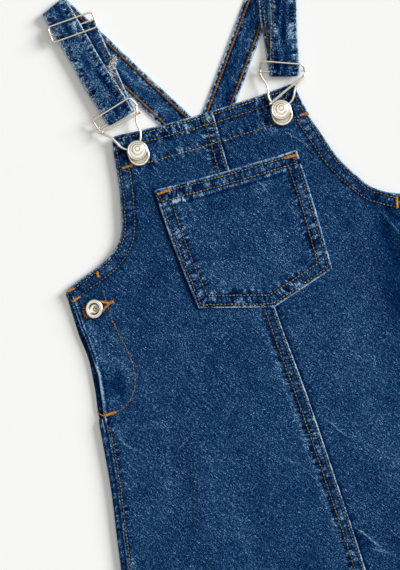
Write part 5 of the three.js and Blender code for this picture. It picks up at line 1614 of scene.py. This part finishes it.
def turned(points, axis, angle, about):
    axis = unit(axis)
    p = points - about
    c, s = math.cos(angle), math.sin(angle)
    return p * c + np.cross(axis, p) * s + np.outer(p @ axis, axis) * (1 - c) + about



def seen(*rows):
    """Places on a wire from where they are seen, each with its height."""
    return tuple((img(px, py)[0], img(px, py)[1] - BIB_LINE, z) for px, py, z in rows)


HIGHER = 0.45   # the hardware over the bib rests on its hems, which are thicker than the cloth
WIRES = dict(
    left=dict(
        frame=((-115.0, 16.2, 4.6), (-117.9, 25.9, 8.1), (-78.9, 36.2, 8.1), (-74.2, 27.6, 4.6)),
        leg_left=seen((98.2, 132.6, 4.8), (105.7, 135.3, 5.8), (112.6, 138.9, 6.3), (116.5, 142.8, 6.45), (120.7, 147.2, 6.45),
                      (125.7, 149.6, 6.45), (131.0, 150.4, 6.45)),
        leg_right=seen((135.6, 105.4, 4.8), (137.0, 111.5, 5.2), (136.1, 117.5, 5.8), (136.4, 122.5, 6.2), (139.3, 128.7, 6.4),
                       (140.8, 134.5, 6.45), (140.2, 141.0, 6.45), (138.4, 146.0, 6.45)),
        latch=((-112.6, 12.8, 8.2), (-94, 16.0, 8.2), (-73.6, 20.0, 8.2)),
        knobs=((-113.8, 18.0, 4.6), (-75.2, 28.2, 4.6)), button=(-86.4, -12.6), lean=4),
    right=dict(
        frame=((42.9, 24.2, 4.6), (46.0, 33.0, 8.1), (81.6, 18.9, 8.1), (82.6, 13.6, 4.6)),
        leg_left=seen((259.6, 73.4, 4.8), (262.9, 79.6, 5.8), (266.6, 85.0, 6.3), (267.9, 90.0, 6.45), (267.9, 95.0, 6.45),
                      (269.2, 99.6, 6.45), (273.5, 105.5, 6.45)),
        leg_right=seen((304.0, 75.0, 4.8), (299.4, 82.0, 6.0), (295.6, 86.8, 6.35), (294.3, 91.0, 6.45), (293.8, 95.6, 6.45),
                       (291.8, 100.9, 6.45), (286.5, 106.0, 6.45)),
        latch=((79.5, 8.2, 8.3), (62, 0.9, 8.3), (42.6, -7.6, 8.3)),
        knobs=((42.9, 24.0, 4.6), (82.6, 13.2, 4.6)), button=(50.7, -15.5), lean=-2))


def bent(rows, higher=0.0):
    return np.array([(x, BIB_LINE + up, z + higher * float(smooth(-2, 12, 8 - up))) for x, up, z in rows])


def flowing(points):
    """A wire's bends, eased into one another."""
    line = line_of(catmull(points, 8), 0.8)
    for _ in range(6):
        line[1:-1] = 0.25 * line[:-2] + 0.5 * line[1:-1] + 0.25 * line[2:]
    return line


def plate_mesh(cx, cy, z, lean):
    """The buckle's plate: a rounded shield with a rolled rim and a hole for the shank."""
    R, drop, count = 9.3, 4.6, 72
    ang = np.linspace(0, 2 * math.pi, count, endpoint=False)
    loops = ((1.00, 0.0), (1.06, 0.5), (1.045, 1.15), (0.99, 1.6), (0.92, 1.62), (0.87, 1.25), (0.82, 0.95), (0.60, 0.85), (0.36, 0.8), (0.335, 0.45), (0.36, 0.05), (0.7, 0.0))
    pts = []
    for k, h in loops:
        r = R * k
        grow = np.clip((k - 0.34) / 0.66, 0, 1)
        x = r * np.cos(ang)
        y = r * np.sin(ang) - np.where(np.sin(ang) < 0, drop * grow, 0)
        pts.append(np.stack([x, y, np.full(count, h)], 1))
    n = len(loops)
    faces = []
    for i in range(n):
        j = (i + 1) % n
        for k in range(count):
            l = (k + 1) % count
            faces.append([i * count + k, i * count + l, j * count + l, j * count + k])
    p = np.concatenate(pts)
    a = math.radians(lean)
    q = np.stack([p[:, 0] * math.cos(a) - p[:, 1] * math.sin(a) + cx, p[:, 0] * math.sin(a) + p[:, 1] * math.cos(a) + cy, p[:, 2] + z], 1)
    return q, faces


def eyelet(centre, normal, radius=1.35, wire_r=0.62):
    """A wire end curled into a small ring."""
    n = unit(normal)
    u = unit(np.cross(n, [0.3, 0.2, 1.0]))
    v = np.cross(n, u)
    a = np.linspace(0, 2 * math.pi, 18, endpoint=False)
    ring = np.array(centre) + radius * (np.outer(np.cos(a), u) + np.outer(np.sin(a), v))
    return tube(ring, wire_r, 10, closed=True)


CAP = [(0, 0), (2.6, 0.0), (2.6, 1.9), (7.9, 1.9), (8.7, 2.15), (9.15, 2.7), (9.2, 3.3), (8.9, 3.8), (8.3, 4.0), (7.85, 3.8),
       (7.65, 3.68), (7.3, 3.62), (7.0, 3.78), (6.6, 3.98), (6.0, 4.06), (5.6, 4.02), (5.35, 3.93), (5.0, 3.93), (4.75, 4.1),
       (4.4, 4.3), (3.9, 4.44), (3.2, 4.52), (2.6, 4.48), (2.35, 4.34), (2.0, 4.32), (1.75, 4.44), (1.0, 4.52), (0, 4.54)]
RING_CAP = [(0, 0), (2.6, 0.0), (2.6, 2.3), (7.6, 2.3), (8.6, 2.7), (9.05, 3.4), (9.05, 4.0), (8.7, 4.6), (8.1, 4.95), (7.5, 5.05),
            (7.0, 4.95), (6.6, 4.8), (6.2, 4.9), (5.8, 4.95), (5.45, 4.75), (5.2, 4.3), (4.95, 3.7), (4.6, 3.2), (4.0, 2.85),
            (3.2, 2.66), (2.5, 2.6), (2.2, 2.75), (1.95, 3.15), (1.65, 3.3), (1.35, 3.15), (1.15, 2.8), (1.0, 2.45), (0, 2.42)]


def grime_and_shade_in(radii, r, high):
    """Grime and painted shade in turned grooves, each a radius, a half width and an amount."""
    return np.clip(sum(k * np.exp(-((r - c) / w) ** 2) for c, w, k in radii), 0, 1) * high


for side in ("left", "right"):
    w, f = WIRES[side], strap_frame(side)
    bx, by = w["button"]
    ends = [np.array([*(f["bar"] + f["right"] * k), BAR_Z]) + np.array([0, BIB_LINE, 0]) for k in (-21, 19.6)]
    frame_path = rounded(bent(w["frame"]), 3.6)
    leg1, leg2 = flowing(bent(w["leg_left"], HIGHER)), flowing(bent(w["leg_right"], HIGHER))
    bar_dir = ends[1] - ends[0]
    parts = [tube(frame_path, 0.90), tube(leg1, 1.08, 18), tube(leg2, 1.08, 18), tube(np.array(ends), 0.80)]
    for k in w["knobs"]:
        c = np.array([k[0], BIB_LINE + k[1], k[2]])
        parts.append(eyelet(c, bar_dir, 1.25, 0.66))
        if k is w["knobs"][0]:
            parts.append(eyelet(c - unit(bar_dir) * 1.25, bar_dir, 0.9, 0.6))
    parts.append(plate_mesh(bx, BIB_LINE + by, 5.65 + HIGHER, w["lean"]))
    p, q = join(parts)
    piece = make_mesh(f"Buckle_{side}", p, q, NICKEL)
    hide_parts(f"buckle_{side}")

    latch = bent(w["latch"], HIGHER)
    t = unit(latch[-1] - latch[0])
    n = np.array([-t[1], t[0], 0])
    a, b = catmull(latch, 10), None
    gap = 1.05
    first = a + n * gap * np.linspace(0.35, 1.0, len(a))[:, None] * (1 if side == "left" else -1) * 0.75
    second = a - n * gap * np.linspace(0.9, 0.35, len(a))[:, None] * (1 if side == "left" else -1) * 0.75
    p, q = join([tube(first, 0.66), tube(second, 0.60), eyelet(latch[0], n, 1.1, 0.55), eyelet(latch[-1], n, 1.1, 0.55)])
    piece = make_mesh(f"Latch_{side}", p, q, NICKEL)
    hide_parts(f"latch_{side}")

    s = STRAPS[side]
    a = math.radians(s["turn"])
    W, H, r = 21.6, PITCH, 3.2
    ring = []
    for cx, cy, a0 in ((W - r, H - r, 0), (-W + r, H - r, 90), (-W + r, -H + r, 180), (W - r, -H + r, 270)):
        for k in np.radians(np.linspace(a0, a0 + 90, 8)):
            ring.append((cx + r * math.cos(k), cy + r * math.sin(k)))
    ring = np.array(ring)
    z = WEAVE_Z + WEAVE
    def laid(p2):
        p2 = np.atleast_2d(p2)
        return np.stack([p2[:, 0] * math.cos(a) - p2[:, 1] * math.sin(a) + s["slider"][0],
                         p2[:, 0] * math.sin(a) + p2[:, 1] * math.cos(a) + BIB_LINE + s["slider"][1], np.full(len(p2), z)], 1)
    p, q = join([tube(laid(ring), 0.86, 16, closed=True), tube(laid([(-W + 0.4, 0), (W - 0.4, 0)]), 0.7)])
    piece = make_mesh(f"Slider_{side}", p, q, NICKEL)
    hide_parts(f"slider_{side}")

    p, q = lathe(CAP, 72)
    # Grime and painted shade in the ring grooves, and painted shade round the rim's edge.
    grime_and_shade_r = grime_and_shade_in(((7.4, 0.3, 0.20), (5.15, 0.3, 0.32), (2.15, 0.3, 0.55), (9.2, 0.25, 0.55)), np.hypot(p[:, 0], p[:, 1]), p[:, 2] > 2.4)
    p = p + np.array([bx, BIB_LINE + by, 5.65 + HIGHER])
    high = p[:, 2] > 5.65 + HIGHER + 1.2
    # The cap leans a little, and its raised middle sits off centre, towards the top of the picture.
    r = np.hypot(p[:, 0] - bx, p[:, 1] - BIB_LINE - by)
    move = 1.9 * (1 - smooth(1.0, 8.6, r)) * (p[:, 2] > 5.65 + HIGHER + 2.6)
    up_x, up_y = math.sin(TURN), math.cos(TURN)
    q_ = p.copy()
    q_[:, 0] += move * up_x
    q_[:, 1] += move * up_y
    lean = turned(q_, (1, 0.15, 0), math.radians(-4), np.array([bx, BIB_LINE + by, 5.65 + HIGHER + 1.2]))
    lean[:, 2] += 0.5
    p = np.where(high[:, None], lean, p)
    piece = make_mesh(f"Bib_button_{side}", p, q, CAP_NICKEL, dict(wear_and_shade=grime_and_shade_r))
    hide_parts(f"bib_button_{side}")

    sx, sd = PLACKET[side]["button"]
    p, q = lathe(RING_CAP, 72)
    r = np.hypot(p[:, 0], p[:, 1])
    # Grime in the ring groove, and painted shade down the hollow bowl, at its middle and round the rim's edge.
    grime_and_shade_r = grime_and_shade_in(((6.6, 0.3, 0.35), (4.9, 0.65, 0.85), (2.5, 0.45, 0.90), (0.3, 0.95, 1.0), (9.1, 0.25, 0.6)), r, p[:, 2] > 2.35)
    p[:, :2] += np.outer(1.8 * (1 - smooth(1.6, 5.2, r)) * (p[:, 2] > 2.55), [math.cos(TURN), -math.sin(TURN)])
    across = p[:, 0] * math.cos(TURN) - p[:, 1] * math.sin(TURN)
    p[:, :2] -= np.outer(0.11 * across, [math.cos(TURN), -math.sin(TURN)])
    high = p[:, 2] > 1.0
    lean = turned(p, (math.sin(TURN), math.cos(TURN), 0), math.radians(-5), np.array([0, 0, 2.5]))
    lean[:, 2] += 0.3
    p = np.where(high[:, None], lean, p) + np.array([sx, BIB_LINE - sd, 3.7])
    piece = make_mesh(f"Side_button_{side}", p, q, CAP_NICKEL, dict(wear_and_shade=grime_and_shade_r))
    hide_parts(f"side_button_{side}")

# ---- surface and light -----------------------------------------------------------------------------
floor_mesh = bpy.data.meshes.new("floor")
floor_mesh.from_pydata([(-6, -6, 0), (6, -6, 0), (6, 6, 0), (-6, 6, 0)], [], [(0, 1, 2, 3)])
floor = bpy.data.objects.new("floor", floor_mesh)
floor.location = (0, 0, -0.0001)
scene.collection.objects.link(floor)
paper = Nodes("paper")
paper.shader.inputs["Base Color"].default_value = (0.90, 0.90, 0.90, 1)
paper.shader.inputs["Roughness"].default_value = 0.9
paper.shader.inputs["Specular IOR Level"].default_value = 0.0
floor_mesh.materials.append(paper.material)

world = bpy.data.worlds.new("studio")
scene.world = world
world.use_nodes = True
sky = world.node_tree
spot = sky.nodes.new("ShaderNodeTexCoord")
split = sky.nodes.new("ShaderNodeSeparateXYZ")
sky.links.new(spot.outputs["Generated"], split.inputs["Vector"])


def level(low, high, dark, light):
    """How strong the sky is by its height: from dark below the first height to light above the second."""
    step = sky.nodes.new("ShaderNodeMapRange")
    step.interpolation_type = "SMOOTHSTEP"
    for key, value in (("From Min", low), ("From Max", high), ("To Min", dark), ("To Max", light)):
        step.inputs[key].default_value = value
    sky.links.new(split.outputs["Z"], step.inputs["Value"])
    return step.outputs["Result"]


both = sky.nodes.new("ShaderNodeMath")
both.operation = "ADD"
sky.links.new(level(0.25, 0.80, 0.10, 0.35), both.inputs[0])
sky.links.new(level(0.84, 0.94, 0.0, 0.98), both.inputs[1])
sky.links.new(both.outputs[0], sky.nodes["Background"].inputs["Strength"])
sky.nodes["Background"].inputs["Color"].default_value = (1.0, 0.985, 0.935, 1)


def sun(name, across, up, elevation, strength, soft, colour=(1, 1, 1)):
    """A soft far light, from a direction in the picture: across to the right, up, and its height."""
    light = bpy.data.lights.new(name, "SUN")
    light.energy = strength
    light.angle = math.radians(soft)
    light.color = colour
    obj = bpy.data.objects.new(name, light)
    scene.collection.objects.link(obj)
    right, high = np.array([math.cos(TURN), -math.sin(TURN)]), np.array([math.sin(TURN), math.cos(TURN)])
    d = unit(across * right + up * high)
    e = math.radians(elevation)
    v = np.array([d[0] * math.cos(e), d[1] * math.cos(e), math.sin(e)])
    from mathutils import Vector
    obj.rotation_euler = Vector(v).to_track_quat("Z", "Y").to_euler()
    obj.location = (v * 2).tolist()
    return obj


sun("key", 1.0, 0.48, 24, 4.40, 26, (0.965, 0.98, 1.0))
